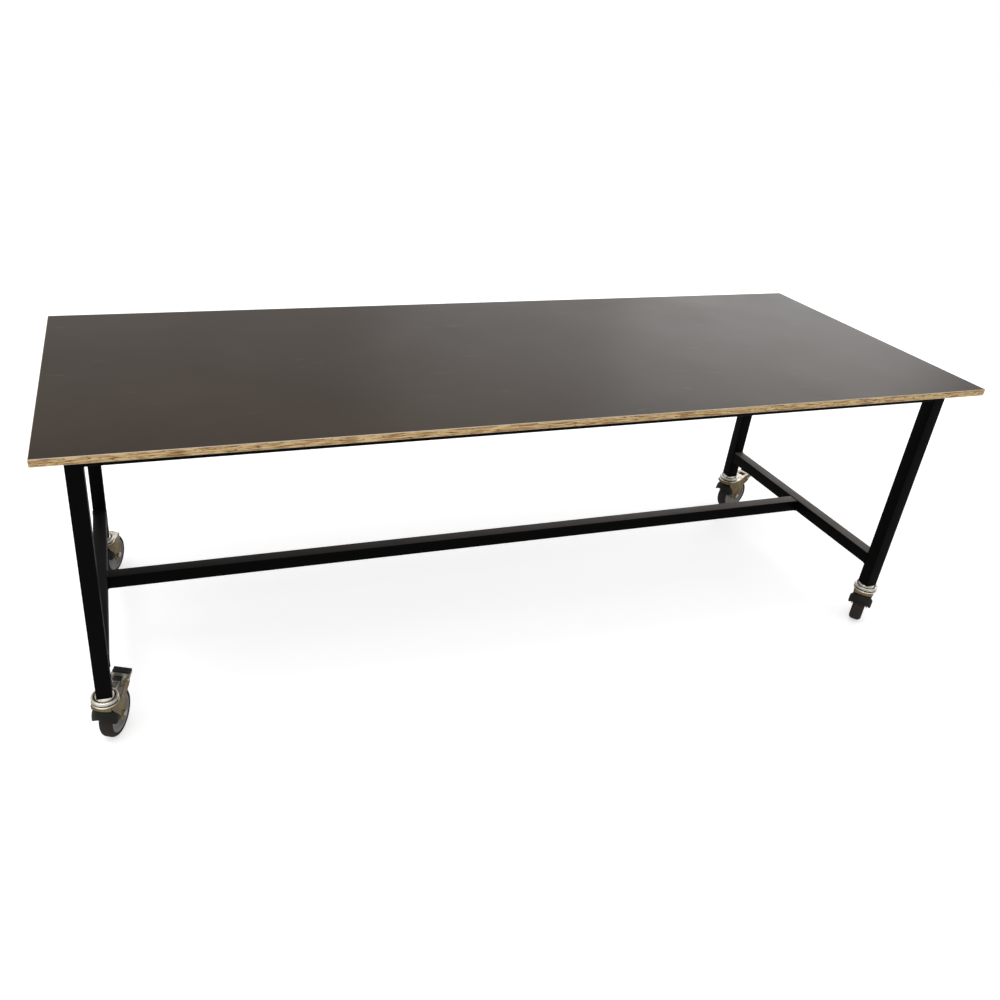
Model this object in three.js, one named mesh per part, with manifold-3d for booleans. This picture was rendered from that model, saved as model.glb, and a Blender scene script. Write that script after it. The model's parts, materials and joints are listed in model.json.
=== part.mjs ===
// A mobile assembly table: film-faced plywood top, welded square-tube frame, four swivel castors.
// Millimetres, +Z up, origin on the floor below the middle of the top, +X along the table.
import * as THREE from 'three';
import { mergeVertices } from 'three/addons/utils/BufferGeometryUtils.js';
import Module from 'manifold-3d';

const wasm = await Module();
wasm.setup();

// Plywood top
const TOP_LENGTH = 2440;
const TOP_WIDTH = 900;
const TOP_THICKNESS = 18;
const TOP_CORNER = 3;

// Frame of square tube
const TUBE = 38;
const TUBE_WALL = 2;
const TUBE_CORNER = 3;
const LEG_INSET_X = 60;
const LEG_INSET_Y = 60;
const LEG_LENGTH = 665;
const STRETCHER_RISE = 82;
const JOINT_GAP = 0.3;

// Insert welded into the foot of each leg
const INSERT_PLATE = 8;
const INSERT_NUT_RADIUS = 10;
const INSERT_NUT_HEIGHT = 12;

// Castor wheel
const WHEEL_DIAMETER = 125;
const TREAD_WIDTH = 36;
const TREAD_DEPTH = 12;
const TREAD_SHOULDER = 6;
const RIM_WIDTH = 32;
const RIM_DEPTH = 8;
const RIM_DRAFT = 2;
const TREAD_DRAFT = 2;
const WEB_THICKNESS = 12;
const HUB_RADIUS = 14;
const TRAIL = 40;

// Castor fork, pressed from sheet
const SHEET = 2.5;
const FORK_WIDTH = 48;
const FORK_FLARE = 7;
const FLARE_CENTRE = 14;
const FLARE_REACH = 38;
const FORK_WAIST = 3;
const WAIST_CENTRE = 70;
const WAIST_REACH = 18;
const AXLE_BOSS = 16;
const PLATE_WIDTH = 40;
const FRONT_REACH = 26;
const REAR_REACH = 60;
const APRON_DEPTH = 9;
const REAR_APRON_DEPTH = 6;
const APRON_BULGE = 5;
const RIB_RADIUS = 2.2;
const RIB_SPACING = 18;

// Castor head and swivel bearing
const TREAD_CLEARANCE = 2;
const CROWN_RISE = 4;
const LOWER_RACE_RISE = 9;
const LIP_RISE = 13;
const UPPER_RACE_RISE = 18;
const HEAD_STACK = 28;
const HEAD_RADIUS = 33;
const RACE_INNER = 20;
const RACE_OUTER = 28;
const RACE_PLAY = 1;
const RACE_CHAMFER = 1.5;
const SEAT_RADIUS = 21.4;
const FIT_GAP = 0.3;
const SWIVEL_GAP = 1.2;

// Bolts
const KING_RADIUS = 6;
const KING_HEAD_RADIUS = 10;
const KING_HEAD_HEIGHT = 7;
const BOLT_CHAMFER = 1;
const AXLE_RADIUS = 5;
const AXLE_HEAD_RADIUS = 8.5;
const AXLE_HEAD_HEIGHT = 5.5;
const AXLE_STUB = 2;
const PIN_RADIUS = 3;
const PIN_STUB = 1.5;

// Front wheel guard, moulded plastic
const GUARD_WIDTH = 61;
const GUARD_WALL = 3;
const GUARD_GAP = 3;
const GUARD_DROOP = 20;
const GUARD_LOW_ANGLE = 10;
const GUARD_HIGH_ANGLE = 38;
const GUARD_TONGUE_ANGLE = 60;
const GUARD_RISE = 9;
const GUARD_LIP = 4;
const TONGUE_TAPER = 6;
const TONGUE_LOW_ANGLE = 18;

// Brake: tail of the fork, lever and rocker pad
const TAIL_REACH = 92;
const TAIL_START = 48;
const TAIL_SLOPE = 0.24;
const TAIL_GAP = 2;
const LEVER_WIDTH = 37;
const LEVER_RISE = 5;
const LEVER_DIP = 4;
const LEVER_END_RISE = 9;
const LEVER_BACK_RISE = 7.5;
const LEVER_END_DEPTH = 3;
const ARM_FRONT_DEPTH = 5;
const ARM_DEPTH = 6;
const ARM_BACK_DEPTH = 3;
const ARM_BACK_SETBACK = 3;
const SHOE_ROOT = 5;
const PAD_WIDTH = 46;
const PAD_HEIGHT = 7;
const PAD_LENGTH = 17;
const PAD_GAP = 1;
const PAD_STRIP = 2;
const PAD_CHAMFER = 2;
const RELEASE_CHAMFER = 1.5;
const STRIP_OVERLAP = 2;
const RELEASE_WIDTH = 18;
const RELEASE_LENGTH = 12;
const RELEASE_BACK = 2;
const WINDOW_GAP = 2;
const PIVOT_REACH = 84;
const BRAKE_TRAVEL = 10;
const SHOE_GAP = 0.6;
const SHOE_THICKNESS = 3;
const SHOE_LOW_ANGLE = 38;
const SHOE_HIGH_ANGLE = 52;

// How each castor stands in the photograph: its heading from +X, and whether it has a brake
const CASTORS = [
  { place: 'front_left', x: -1, y: -1, heading: 66, braked: true },
  { place: 'front_right', x: 1, y: -1, heading: 40, braked: false },
  { place: 'rear_left', x: -1, y: 1, heading: 64, braked: false },
  { place: 'rear_right', x: 1, y: 1, heading: 15, braked: true },
];

// Facets
const RING_STEPS = 18;
const TREAD_STEPS = 30;
const BOLT_STEPS = 8;
const HEX_STEPS = 6;
const CORNER_STEPS = 2;

// Heights and places worked out from the driving dimensions
const axleZ = WHEEL_DIAMETER / 2;
const rimZ = WHEEL_DIAMETER + TREAD_CLEARANCE;
const crownZ = rimZ + CROWN_RISE;
const lowerRaceZ = rimZ + LOWER_RACE_RISE;
const lipZ = rimZ + LIP_RISE;
const upperRaceZ = rimZ + UPPER_RACE_RISE;
const seatZ = rimZ + HEAD_STACK;
const topUnderZ = seatZ + LEG_LENGTH;
const legX = TOP_LENGTH / 2 - LEG_INSET_X - TUBE / 2;
const legY = TOP_WIDTH / 2 - LEG_INSET_Y - TUBE / 2;
const railZ = topUnderZ - JOINT_GAP - TUBE / 2;
const stretcherZ = seatZ + STRETCHER_RISE;
const leverBack = TAIL_REACH + TAIL_GAP;
const leverReach = leverBack + PAD_GAP + PAD_LENGTH;
const pivotZ = crownZ;
const releaseFront = PIVOT_REACH - RELEASE_BACK - RELEASE_LENGTH;

const FINISHES = {
  film: { color: 0x4a413a, roughness: 0.4, metalness: 0 },
  powder: { color: 0x0c0c0c, roughness: 0.5, metalness: 0.1 },
  zinc: { color: 0xc9c2b4, roughness: 0.28, metalness: 1 },
  steel: { color: 0x9a9894, roughness: 0.35, metalness: 1 },
  plastic: { color: 0x121110, roughness: 0.55, metalness: 0 },
  core: { color: 0x7b7874, roughness: 0.5, metalness: 0 },
  rubber: { color: 0x26241f, roughness: 0.8, metalness: 0 },
};

const radians = (degrees) => (degrees * Math.PI) / 180;
const mix = (a, b, t) => a + (b - a) * t;

// Radius at the corners of a faceted hole that clears a bolt turned in it anyhow
const boreRadius = (bolt) => (bolt + FIT_GAP) / Math.cos(Math.PI / BOLT_STEPS);

function smooth(low, high, value) {
  const t = Math.min(1, Math.max(0, (value - low) / (high - low)));
  return t * t * (3 - 2 * t);
}

function named(name, geometry, finish) {
  const mesh = new THREE.Mesh(geometry, new THREE.MeshStandardMaterial(FINISHES[finish]));
  mesh.name = name;
  return mesh;
}

// Turns a closed three.js geometry into a solid that can be joined and cut
function solid(geometry) {
  const bare = geometry.clone();
  bare.deleteAttribute('normal');
  bare.deleteAttribute('uv');
  const merged = mergeVertices(bare, 1e-4);
  const position = merged.getAttribute('position');
  const source = merged.getIndex().array;
  const triangles = [];
  for (let i = 0; i < source.length; i += 3) {
    const [a, b, c] = [source[i], source[i + 1], source[i + 2]];
    if (a !== b && b !== c && c !== a) triangles.push(a, b, c);
  }
  return new wasm.Manifold(new wasm.Mesh({
    numProp: 3,
    vertProperties: new Float32Array(position.array),
    triVerts: new Uint32Array(triangles),
  }));
}

function geometryOf(manifold) {
  const mesh = manifold.getMesh();
  const geometry = new THREE.BufferGeometry();
  geometry.setAttribute('position', new THREE.BufferAttribute(new Float32Array(mesh.vertProperties), 3));
  geometry.setIndex(new THREE.BufferAttribute(new Uint32Array(mesh.triVerts), 1));
  geometry.computeVertexNormals();
  return geometry;
}

function join(geometries) {
  return geometries.map(solid).reduce((whole, next) => whole.add(next));
}

function cut(manifold, geometries) {
  return geometries.map(solid).reduce((whole, tool) => whole.subtract(tool), manifold);
}

// A body turned about the vertical axis; the profile runs counter-clockwise in (radius, height)
function turned(profile, steps, close = true) {
  const points = profile.map(([r, z]) => new THREE.Vector2(r, z));
  if (close) points.push(points[0].clone());
  return new THREE.LatheGeometry(points, steps).rotateX(Math.PI / 2);
}

// A body turned about the axle, with its flats square to the floor
function turnedOnAxle(profile, steps) {
  const points = profile.map(([r, y]) => new THREE.Vector2(r, y));
  points.push(points[0].clone());
  const geometry = new THREE.LatheGeometry(points, steps, Math.PI / steps);
  return geometry.translate(TRAIL, 0, axleZ);
}

// A solid with the given side outline (along, up), as wide as given, about the castor's mid-plane
function slab(outline, width, middle = 0) {
  const shape = new THREE.Shape(outline.map(([s, z]) => new THREE.Vector2(s, z)));
  const geometry = new THREE.ExtrudeGeometry(shape, { depth: width, bevelEnabled: false });
  return geometry.rotateX(Math.PI / 2).translate(0, middle + width / 2, 0);
}

// A round bar across the castor
function crossBar(s, z, radius, fromY, toY, steps) {
  const bar = new THREE.CylinderGeometry(radius, radius, toY - fromY, steps);
  return bar.translate(s, (fromY + toY) / 2, z);
}

function box(low, high) {
  const size = high.map((value, i) => value - low[i]);
  const middle = high.map((value, i) => (value + low[i]) / 2);
  return new THREE.BoxGeometry(...size).translate(...middle);
}

// Points on a circle round the axle, by the angle above the horizontal; front is towards -X
function roundAxle(radius, degrees, front) {
  const side = front ? -1 : 1;
  const angle = radians(degrees);
  return [TRAIL + side * radius * Math.cos(angle), axleZ + radius * Math.sin(angle)];
}

function arcRoundAxle(radius, from, to, steps, front) {
  const points = [];
  for (let i = 0; i <= steps; i += 1) points.push(roundAxle(radius, mix(from, to, i / steps), front));
  return points;
}

// A closed sheet: a grid of points and the same grid moved by an offset, joined round the rim
function sheet(grid, offset) {
  const rows = grid.length;
  const columns = grid[0].length;
  const positions = [];
  for (const shift of [[0, 0, 0], offset]) {
    for (const row of grid) {
      for (const point of row) positions.push(...point.map((value, k) => value + shift[k]));
    }
  }
  const far = rows * columns;
  const at = (j, i) => j * columns + i;
  const triangles = [];
  const quad = (a, b, c, d) => triangles.push(a, b, c, a, c, d);
  for (let j = 0; j + 1 < rows; j += 1) {
    for (let i = 0; i + 1 < columns; i += 1) {
      quad(at(j, i), at(j, i + 1), at(j + 1, i + 1), at(j + 1, i));
      quad(far + at(j, i), far + at(j + 1, i), far + at(j + 1, i + 1), far + at(j, i + 1));
    }
  }
  const rim = [];
  for (let i = 0; i < columns; i += 1) rim.push(at(0, i));
  for (let j = 1; j < rows; j += 1) rim.push(at(j, columns - 1));
  for (let i = columns - 2; i >= 0; i -= 1) rim.push(at(rows - 1, i));
  for (let j = rows - 2; j >= 1; j -= 1) rim.push(at(j, 0));
  rim.forEach((a, k) => {
    const b = rim[(k + 1) % rim.length];
    quad(a, far + a, far + b, b);
  });
  const geometry = new THREE.BufferGeometry();
  geometry.setAttribute('position', new THREE.BufferAttribute(new Float32Array(positions), 3));
  geometry.setIndex(volumeOf(positions, triangles) > 0 ? triangles : triangles.reverse());
  return geometry;
}

function volumeOf(positions, triangles) {
  const point = (k) => new THREE.Vector3().fromArray(positions, 3 * k);
  let volume = 0;
  for (let i = 0; i < triangles.length; i += 3) {
    const [a, b, c] = [point(triangles[i]), point(triangles[i + 1]), point(triangles[i + 2])];
    volume += a.dot(b.cross(c)) / 6;
  }
  return volume;
}

// Rounded rectangle, for the plywood panel and the tube section
function roundedRectangle(shape, width, height, radius) {
  const corners = [[1, 1, 0], [-1, 1, 90], [-1, -1, 180], [1, -1, 270]];
  for (const [x, y, start] of corners) {
    const cx = x * (width / 2 - radius);
    const cy = y * (height / 2 - radius);
    for (let i = 0; i <= CORNER_STEPS; i += 1) {
      const angle = radians(start + (90 * i) / CORNER_STEPS);
      const point = [cx + radius * Math.cos(angle), cy + radius * Math.sin(angle)];
      if (x === 1 && y === 1 && i === 0) shape.moveTo(...point);
      else shape.lineTo(...point);
    }
  }
  shape.closePath();
  return shape;
}

function panel() {
  const outline = roundedRectangle(new THREE.Shape(), TOP_LENGTH, TOP_WIDTH, TOP_CORNER);
  const geometry = new THREE.ExtrudeGeometry(outline, { depth: TOP_THICKNESS, bevelEnabled: false });
  return geometry.translate(0, 0, topUnderZ);
}

// Open square tube along +Z, centred on the origin
function tube(length) {
  const outline = roundedRectangle(new THREE.Shape(), TUBE, TUBE, TUBE_CORNER);
  const inside = TUBE - 2 * TUBE_WALL;
  const insideCorner = Math.max(0.5, TUBE_CORNER - TUBE_WALL);
  outline.holes.push(roundedRectangle(new THREE.Path(), inside, inside, insideCorner));
  const geometry = new THREE.ExtrudeGeometry(outline, { depth: length, bevelEnabled: false });
  return geometry.translate(0, 0, -length / 2);
}

function tubeAlong(axis, length, place) {
  const geometry = tube(length);
  if (axis === 'x') geometry.rotateY(Math.PI / 2);
  if (axis === 'y') geometry.rotateX(Math.PI / 2);
  return geometry.translate(...place);
}

function tableFrame() {
  const group = new THREE.Group();
  const acrossX = 2 * legX - TUBE - 2 * JOINT_GAP;
  const acrossY = 2 * legY - TUBE - 2 * JOINT_GAP;
  const legTop = topUnderZ - JOINT_GAP;
  const add = (name, geometry) => group.add(named(name, geometry, 'powder'));
  for (const { place, x, y } of CASTORS) {
    const middle = [x * legX, y * legY, (seatZ + legTop) / 2];
    add(`leg_${place}`, tubeAlong('z', legTop - seatZ, middle));
    add(`leg_insert_${place}`, legInsert().translate(x * legX, y * legY, seatZ));
  }
  add('top_rail_front', tubeAlong('x', acrossX, [0, -legY, railZ]));
  add('top_rail_rear', tubeAlong('x', acrossX, [0, legY, railZ]));
  add('top_rail_left', tubeAlong('y', acrossY, [-legX, 0, railZ]));
  add('top_rail_right', tubeAlong('y', acrossY, [legX, 0, railZ]));
  add('top_rail_cross', tubeAlong('y', acrossY, [0, 0, railZ]));
  add('end_stretcher_left', tubeAlong('y', acrossY, [-legX, 0, stretcherZ]));
  add('end_stretcher_right', tubeAlong('y', acrossY, [legX, 0, stretcherZ]));
  add('long_stretcher', tubeAlong('x', acrossX, [0, 0, stretcherZ]));
  return group;
}

// Plate and nut that close the foot of a leg and take the castor's king bolt
function legInsert() {
  const half = TUBE / 2 - TUBE_WALL - JOINT_GAP;
  const plate = box([-half, -half, 0], [half, half, INSERT_PLATE]);
  const top = INSERT_PLATE + INSERT_NUT_HEIGHT;
  const radius = INSERT_NUT_RADIUS;
  const nut = turned([[0, 0], [radius, 0], [radius, top], [0, top]], HEX_STEPS, false);
  const bore = boreRadius(KING_RADIUS);
  const drill = turned([[0, -1], [bore, -1], [bore, top + 1], [0, top + 1]], BOLT_STEPS, false);
  return geometryOf(cut(join([plate, nut]), [drill]));
}

// Swivel head: raised seat for the leg, a groove round it, and the rolled ring over the bearing
function castorHead() {
  const bore = boreRadius(KING_RADIUS);
  const top = seatZ - FIT_GAP;
  const lip = lipZ + SWIVEL_GAP;
  return turned([
    [bore, upperRaceZ],
    [RACE_OUTER, upperRaceZ], [RACE_OUTER, lip], [HEAD_RADIUS - 1.2, lip],
    [HEAD_RADIUS, lip + 1.4], [HEAD_RADIUS, lip + 6], [HEAD_RADIUS - 3, lip + 9.4],
    [HEAD_RADIUS - 6.4, lip + 6.7], [SEAT_RADIUS + 3.4, lip + 7.2], [SEAT_RADIUS, top], [bore, top],
  ], RING_STEPS);
}

// Ring of balls and cage between head and fork
function castorBearing() {
  const low = lowerRaceZ + FIT_GAP;
  const high = upperRaceZ - FIT_GAP;
  const inner = RACE_INNER + RACE_PLAY;
  const outer = RACE_OUTER - RACE_PLAY;
  const chamfer = RACE_CHAMFER;
  return turned([
    [inner + chamfer, low], [outer - chamfer, low], [outer, (low + high) / 2],
    [outer - chamfer, high], [inner + chamfer, high], [inner, (low + high) / 2],
  ], RING_STEPS);
}

function kingBolt() {
  const under = crownZ - FIT_GAP;
  const low = under - KING_HEAD_HEIGHT;
  const high = seatZ + INSERT_PLATE + INSERT_NUT_HEIGHT - BOLT_CHAMFER;
  return turned([
    [0, low], [KING_HEAD_RADIUS - BOLT_CHAMFER, low], [KING_HEAD_RADIUS, low + BOLT_CHAMFER],
    [KING_HEAD_RADIUS, under], [KING_RADIUS, under], [KING_RADIUS, high - BOLT_CHAMFER],
    [KING_RADIUS - BOLT_CHAMFER, high], [0, high],
  ], BOLT_STEPS, false);
}

// Half width of the fork's pressed side at a place along it and at a height
function forkHalfWidth(s, z) {
  const away = (s - FLARE_CENTRE) / FLARE_REACH;
  const bossTop = axleZ + AXLE_BOSS;
  const rise = (z - bossTop) / (crownZ - bossTop);
  const behind = (s - WAIST_CENTRE) / WAIST_REACH;
  const swell = FORK_FLARE * Math.exp(-away * away) - FORK_WAIST * Math.exp(-behind * behind);
  return FORK_WIDTH / 2 + swell * Math.max(0, rise);
}

// Height of the fork's upper sheet along it; the tail of a braked fork climbs to the pedal
function forkTopZ(s, braked) {
  const climb = braked ? Math.max(0, s - TAIL_START) * TAIL_SLOPE : 0;
  return crownZ + SHEET + climb;
}

// Front and rear edge of the side plate, from the axle boss up to the crown
function plateRows(braked) {
  const rows = [30, 90].map((degrees) => {
    const half = (PLATE_WIDTH / 2) * Math.sin(radians(degrees));
    return { z: axleZ - AXLE_BOSS * Math.cos(radians(degrees)), front: TRAIL - half, rear: TRAIL + half };
  });
  const steps = 5;
  for (let i = 1; i <= steps; i += 1) {
    const t = i / steps;
    const plain = mix(TRAIL + PLATE_WIDTH / 2, REAR_REACH, t);
    rows.push({
      z: mix(axleZ, crownZ + SHEET, t),
      front: mix(TRAIL - PLATE_WIDTH / 2, -FRONT_REACH, t),
      rear: braked ? mix(plain, TAIL_REACH, smooth(0.42, 0.86, t)) : plain,
      top: i === steps,
    });
  }
  return rows;
}

function forkPlate(side, braked) {
  const columns = braked ? 5 : 4;
  const grid = plateRows(braked).map((row) => {
    const points = [];
    for (let i = 0; i <= columns; i += 1) {
      const s = mix(row.front, row.rear, i / columns);
      const z = row.top ? forkTopZ(s, braked) : row.z;
      points.push([s, side * forkHalfWidth(s, z), z]);
    }
    return points;
  });
  return sheet(grid, [0, -side * SHEET, 0]);
}

// Upper sheet of the fork, from the front apron to its rear edge, let into both side plates
function forkTop(braked) {
  const rear = braked ? TAIL_REACH - 1 : REAR_REACH - 1;
  const steps = braked ? 5 : 4;
  const grid = [];
  for (let j = 0; j <= steps; j += 1) {
    const s = mix(1 - FRONT_REACH, rear, j / steps);
    const z = forkTopZ(s, braked);
    const half = forkHalfWidth(s, z) - SHEET / 2;
    grid.push([[s, -half, z], [s, half, z]]);
  }
  return sheet(grid, [0, 0, -SHEET]);
}

// Apron turned down from the upper sheet, bowed outwards
function forkApron(front) {
  const reach = front ? -FRONT_REACH : REAR_REACH - SHEET;
  const bulge = front ? -APRON_BULGE : APRON_BULGE;
  const top = crownZ + SHEET;
  const low = top - (front ? APRON_DEPTH : REAR_APRON_DEPTH);
  const half = forkHalfWidth(reach, crownZ) - SHEET / 2;
  const columns = 6;
  const grid = [low, top].map((z) => {
    const row = [];
    for (let i = 0; i <= columns; i += 1) {
      const across = mix(-1, 1, i / columns);
      row.push([reach + bulge * (1 - across * across), across * half, z]);
    }
    return row;
  });
  return sheet(grid, [front ? SHEET : -SHEET, 0, 0]);
}

// Ring of the crown: lower ball race, its wall, and the rim rolled outwards below it
function forkCrown() {
  const bore = boreRadius(KING_RADIUS);
  return turned([
    [bore, crownZ], [RACE_OUTER - 0.5, crownZ], [HEAD_RADIUS - 2.5, rimZ], [HEAD_RADIUS, rimZ],
    [HEAD_RADIUS + 0.8, rimZ + 1.5], [HEAD_RADIUS - 1.8, rimZ + 6.5], [HEAD_RADIUS - 2.2, lipZ],
    [RACE_OUTER, lipZ], [RACE_OUTER, lowerRaceZ], [bore, lowerRaceZ],
  ], RING_STEPS);
}

function forkRib(y, braked) {
  const from = HEAD_RADIUS;
  const to = braked ? releaseFront - WINDOW_GAP - RIB_RADIUS : REAR_REACH - SHEET;
  const turn = -Math.atan2(forkTopZ(to, braked) - forkTopZ(from, braked), to - from);
  const bar = new THREE.CylinderGeometry(RIB_RADIUS, RIB_RADIUS, to - from, HEX_STEPS);
  const middle = (forkTopZ(from, braked) + forkTopZ(to, braked)) / 2;
  return bar.rotateZ(Math.PI / 2).rotateY(turn).translate((from + to) / 2, y, middle);
}

function castorFork(braked) {
  const pieces = [
    forkCrown(), forkTop(braked), forkPlate(1, braked), forkPlate(-1, braked), forkApron(true),
    forkRib(RIB_SPACING / 2, braked), forkRib(-RIB_SPACING / 2, braked),
  ];
  if (!braked) pieces.push(forkApron(false));
  const bore = boreRadius(KING_RADIUS);
  const low = rimZ - 1;
  const high = seatZ;
  const across = FORK_WIDTH;
  const tools = [
    turned([[0, low], [bore, low], [bore, high], [0, high]], BOLT_STEPS, false),
    crossBar(TRAIL, axleZ, boreRadius(AXLE_RADIUS), -across, across, BOLT_STEPS),
  ];
  if (braked) {
    const half = RELEASE_WIDTH / 2 + WINDOW_GAP;
    const ends = [releaseFront - WINDOW_GAP, releaseFront + RELEASE_LENGTH + WINDOW_GAP];
    tools.push(box([ends[0], -half, crownZ], [ends[1], half, seatZ]));
    tools.push(crossBar(PIVOT_REACH, pivotZ, boreRadius(PIN_RADIUS), -across, across, BOLT_STEPS));
  }
  return geometryOf(cut(join(pieces), tools));
}

function wheelCore() {
  const outer = axleZ - TREAD_DEPTH - FIT_GAP;
  const inner = outer - RIM_DEPTH;
  const hubHalf = FORK_WIDTH / 2 - SHEET - 2 * FIT_GAP;
  const bore = boreRadius(AXLE_RADIUS);
  const [rim, web] = [RIM_WIDTH / 2, WEB_THICKNESS / 2];
  return turnedOnAxle([
    [bore, -hubHalf], [HUB_RADIUS, -hubHalf], [HUB_RADIUS, -web], [inner, -web],
    [inner + RIM_DRAFT, -rim], [outer, -rim], [outer, rim], [inner + RIM_DRAFT, rim], [inner, web],
    [HUB_RADIUS, web], [HUB_RADIUS, hubHalf], [bore, hubHalf],
  ], RING_STEPS);
}

// Tread with round shoulders; its flats, not its corners, lie on the wheel's radius
function wheelTread() {
  const stretch = 1 / Math.cos(Math.PI / TREAD_STEPS);
  const outer = axleZ * stretch;
  const inner = (axleZ - TREAD_DEPTH) * stretch;
  const half = TREAD_WIDTH / 2;
  return turnedOnAxle([
    [inner, -half + TREAD_DRAFT], [outer - TREAD_SHOULDER, -half],
    [outer - TREAD_SHOULDER / 3, -half + TREAD_DRAFT],
    [outer, -half + TREAD_SHOULDER], [outer, half - TREAD_SHOULDER],
    [outer - TREAD_SHOULDER / 3, half - TREAD_DRAFT],
    [outer - TREAD_SHOULDER, half], [inner, half - TREAD_DRAFT],
  ], TREAD_STEPS);
}

function axleBolt() {
  const face = FORK_WIDTH / 2 + FIT_GAP;
  const end = face + AXLE_HEAD_HEIGHT + AXLE_STUB;
  const shank = crossBar(TRAIL, axleZ, AXLE_RADIUS, -face - 1, end, BOLT_STEPS);
  const head = crossBar(TRAIL, axleZ, AXLE_HEAD_RADIUS, -face - AXLE_HEAD_HEIGHT, -face, HEX_STEPS);
  return geometryOf(join([shank, head]));
}

function axleNut() {
  const face = FORK_WIDTH / 2 + FIT_GAP;
  const nut = crossBar(TRAIL, axleZ, AXLE_HEAD_RADIUS, face, face + AXLE_HEAD_HEIGHT, HEX_STEPS);
  const bore = crossBar(TRAIL, axleZ, boreRadius(AXLE_RADIUS), 0, 2 * face, BOLT_STEPS);
  return geometryOf(cut(solid(nut), [bore]));
}

// Front edge line of the fork's side plate, moved forward by a gap
function forkFrontEdge(z, gap) {
  const t = (z - axleZ) / (crownZ + SHEET - axleZ);
  return mix(TRAIL - PLATE_WIDTH / 2, -FRONT_REACH, t) - gap;
}

// Outer radius of the guard's dome across its width, round the axle
function guardRadius(y) {
  const across = Math.abs(y) / (GUARD_WIDTH / 2);
  return axleZ + GUARD_GAP + GUARD_WALL - GUARD_DROOP * across ** 3;
}

// Section of the guard's shell (radius, across): the dome outside, the same moved in by the wall
function guardSection() {
  const steps = 8;
  const outside = [];
  const inside = [];
  for (let i = 0; i <= steps; i += 1) {
    const y = mix(-GUARD_WIDTH / 2, GUARD_WIDTH / 2, i / steps);
    const slope = guardRadius(y + 0.5) - guardRadius(y - 0.5);
    const length = Math.hypot(1, slope);
    outside.push([guardRadius(y), y]);
    inside.unshift([guardRadius(y) - GUARD_WALL / length, y + (GUARD_WALL * slope) / length]);
  }
  return [...outside, ...inside];
}

// Black guard over the front of the wheel: a drooping dome before the fork's plates, a tongue behind
function wheelGuard() {
  const outer = axleZ + GUARD_GAP + GUARD_WALL;
  const steps = 6;
  const far = outer + 1;
  const arc = arcRoundAxle(far, GUARD_LOW_ANGLE, GUARD_HIGH_ANGLE, steps, true);
  const topZ = arc[steps][1];
  const rootZ = axleZ + GUARD_RISE;
  const gap = 2 * FIT_GAP;
  const wedge = [
    ...arc, [forkFrontEdge(topZ, gap), topZ], [forkFrontEdge(rootZ, gap), rootZ],
    [forkFrontEdge(rootZ, gap + GUARD_LIP), rootZ],
  ];
  const tongue = [
    ...arcRoundAxle(outer - gap, TONGUE_LOW_ANGLE, GUARD_TONGUE_ANGLE, steps, true),
    ...arcRoundAxle(outer - GUARD_WALL, GUARD_TONGUE_ANGLE, TONGUE_LOW_ANGLE, steps, true),
  ];
  const tongueWidth = FORK_WIDTH - 2 * SHEET - 4 * FIT_GAP - TONGUE_TAPER;
  const ring = solid(turnedOnAxle(guardSection(), 2 * RING_STEPS));
  const dome = ring.intersect(solid(slab(wedge, 2 * GUARD_WIDTH)));
  return geometryOf(dome.add(solid(slab(tongue, tongueWidth))));
}

// The shoe is laid out as it meets the tread, then turned back to the released lever
function released([s, z]) {
  const turn = radians(BRAKE_TRAVEL);
  const [along, up] = [s - PIVOT_REACH, z - pivotZ];
  const [cos, sin] = [Math.cos(turn), Math.sin(turn)];
  return [PIVOT_REACH + along * cos - up * sin, pivotZ + along * sin + up * cos];
}

// Height of the lever's upper face along it
function leverTopZ(s) {
  if (s < PIVOT_REACH) {
    const t = (s - releaseFront) / (PIVOT_REACH - releaseFront);
    return pivotZ + mix(LEVER_RISE - LEVER_DIP, LEVER_RISE, t);
  }
  if (s < leverBack) {
    const t = (s - PIVOT_REACH) / (leverBack - PIVOT_REACH);
    return pivotZ + mix(LEVER_RISE, LEVER_BACK_RISE, t);
  }
  return pivotZ + mix(LEVER_BACK_RISE, LEVER_END_RISE, (s - leverBack) / (leverReach - leverBack));
}

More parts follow.
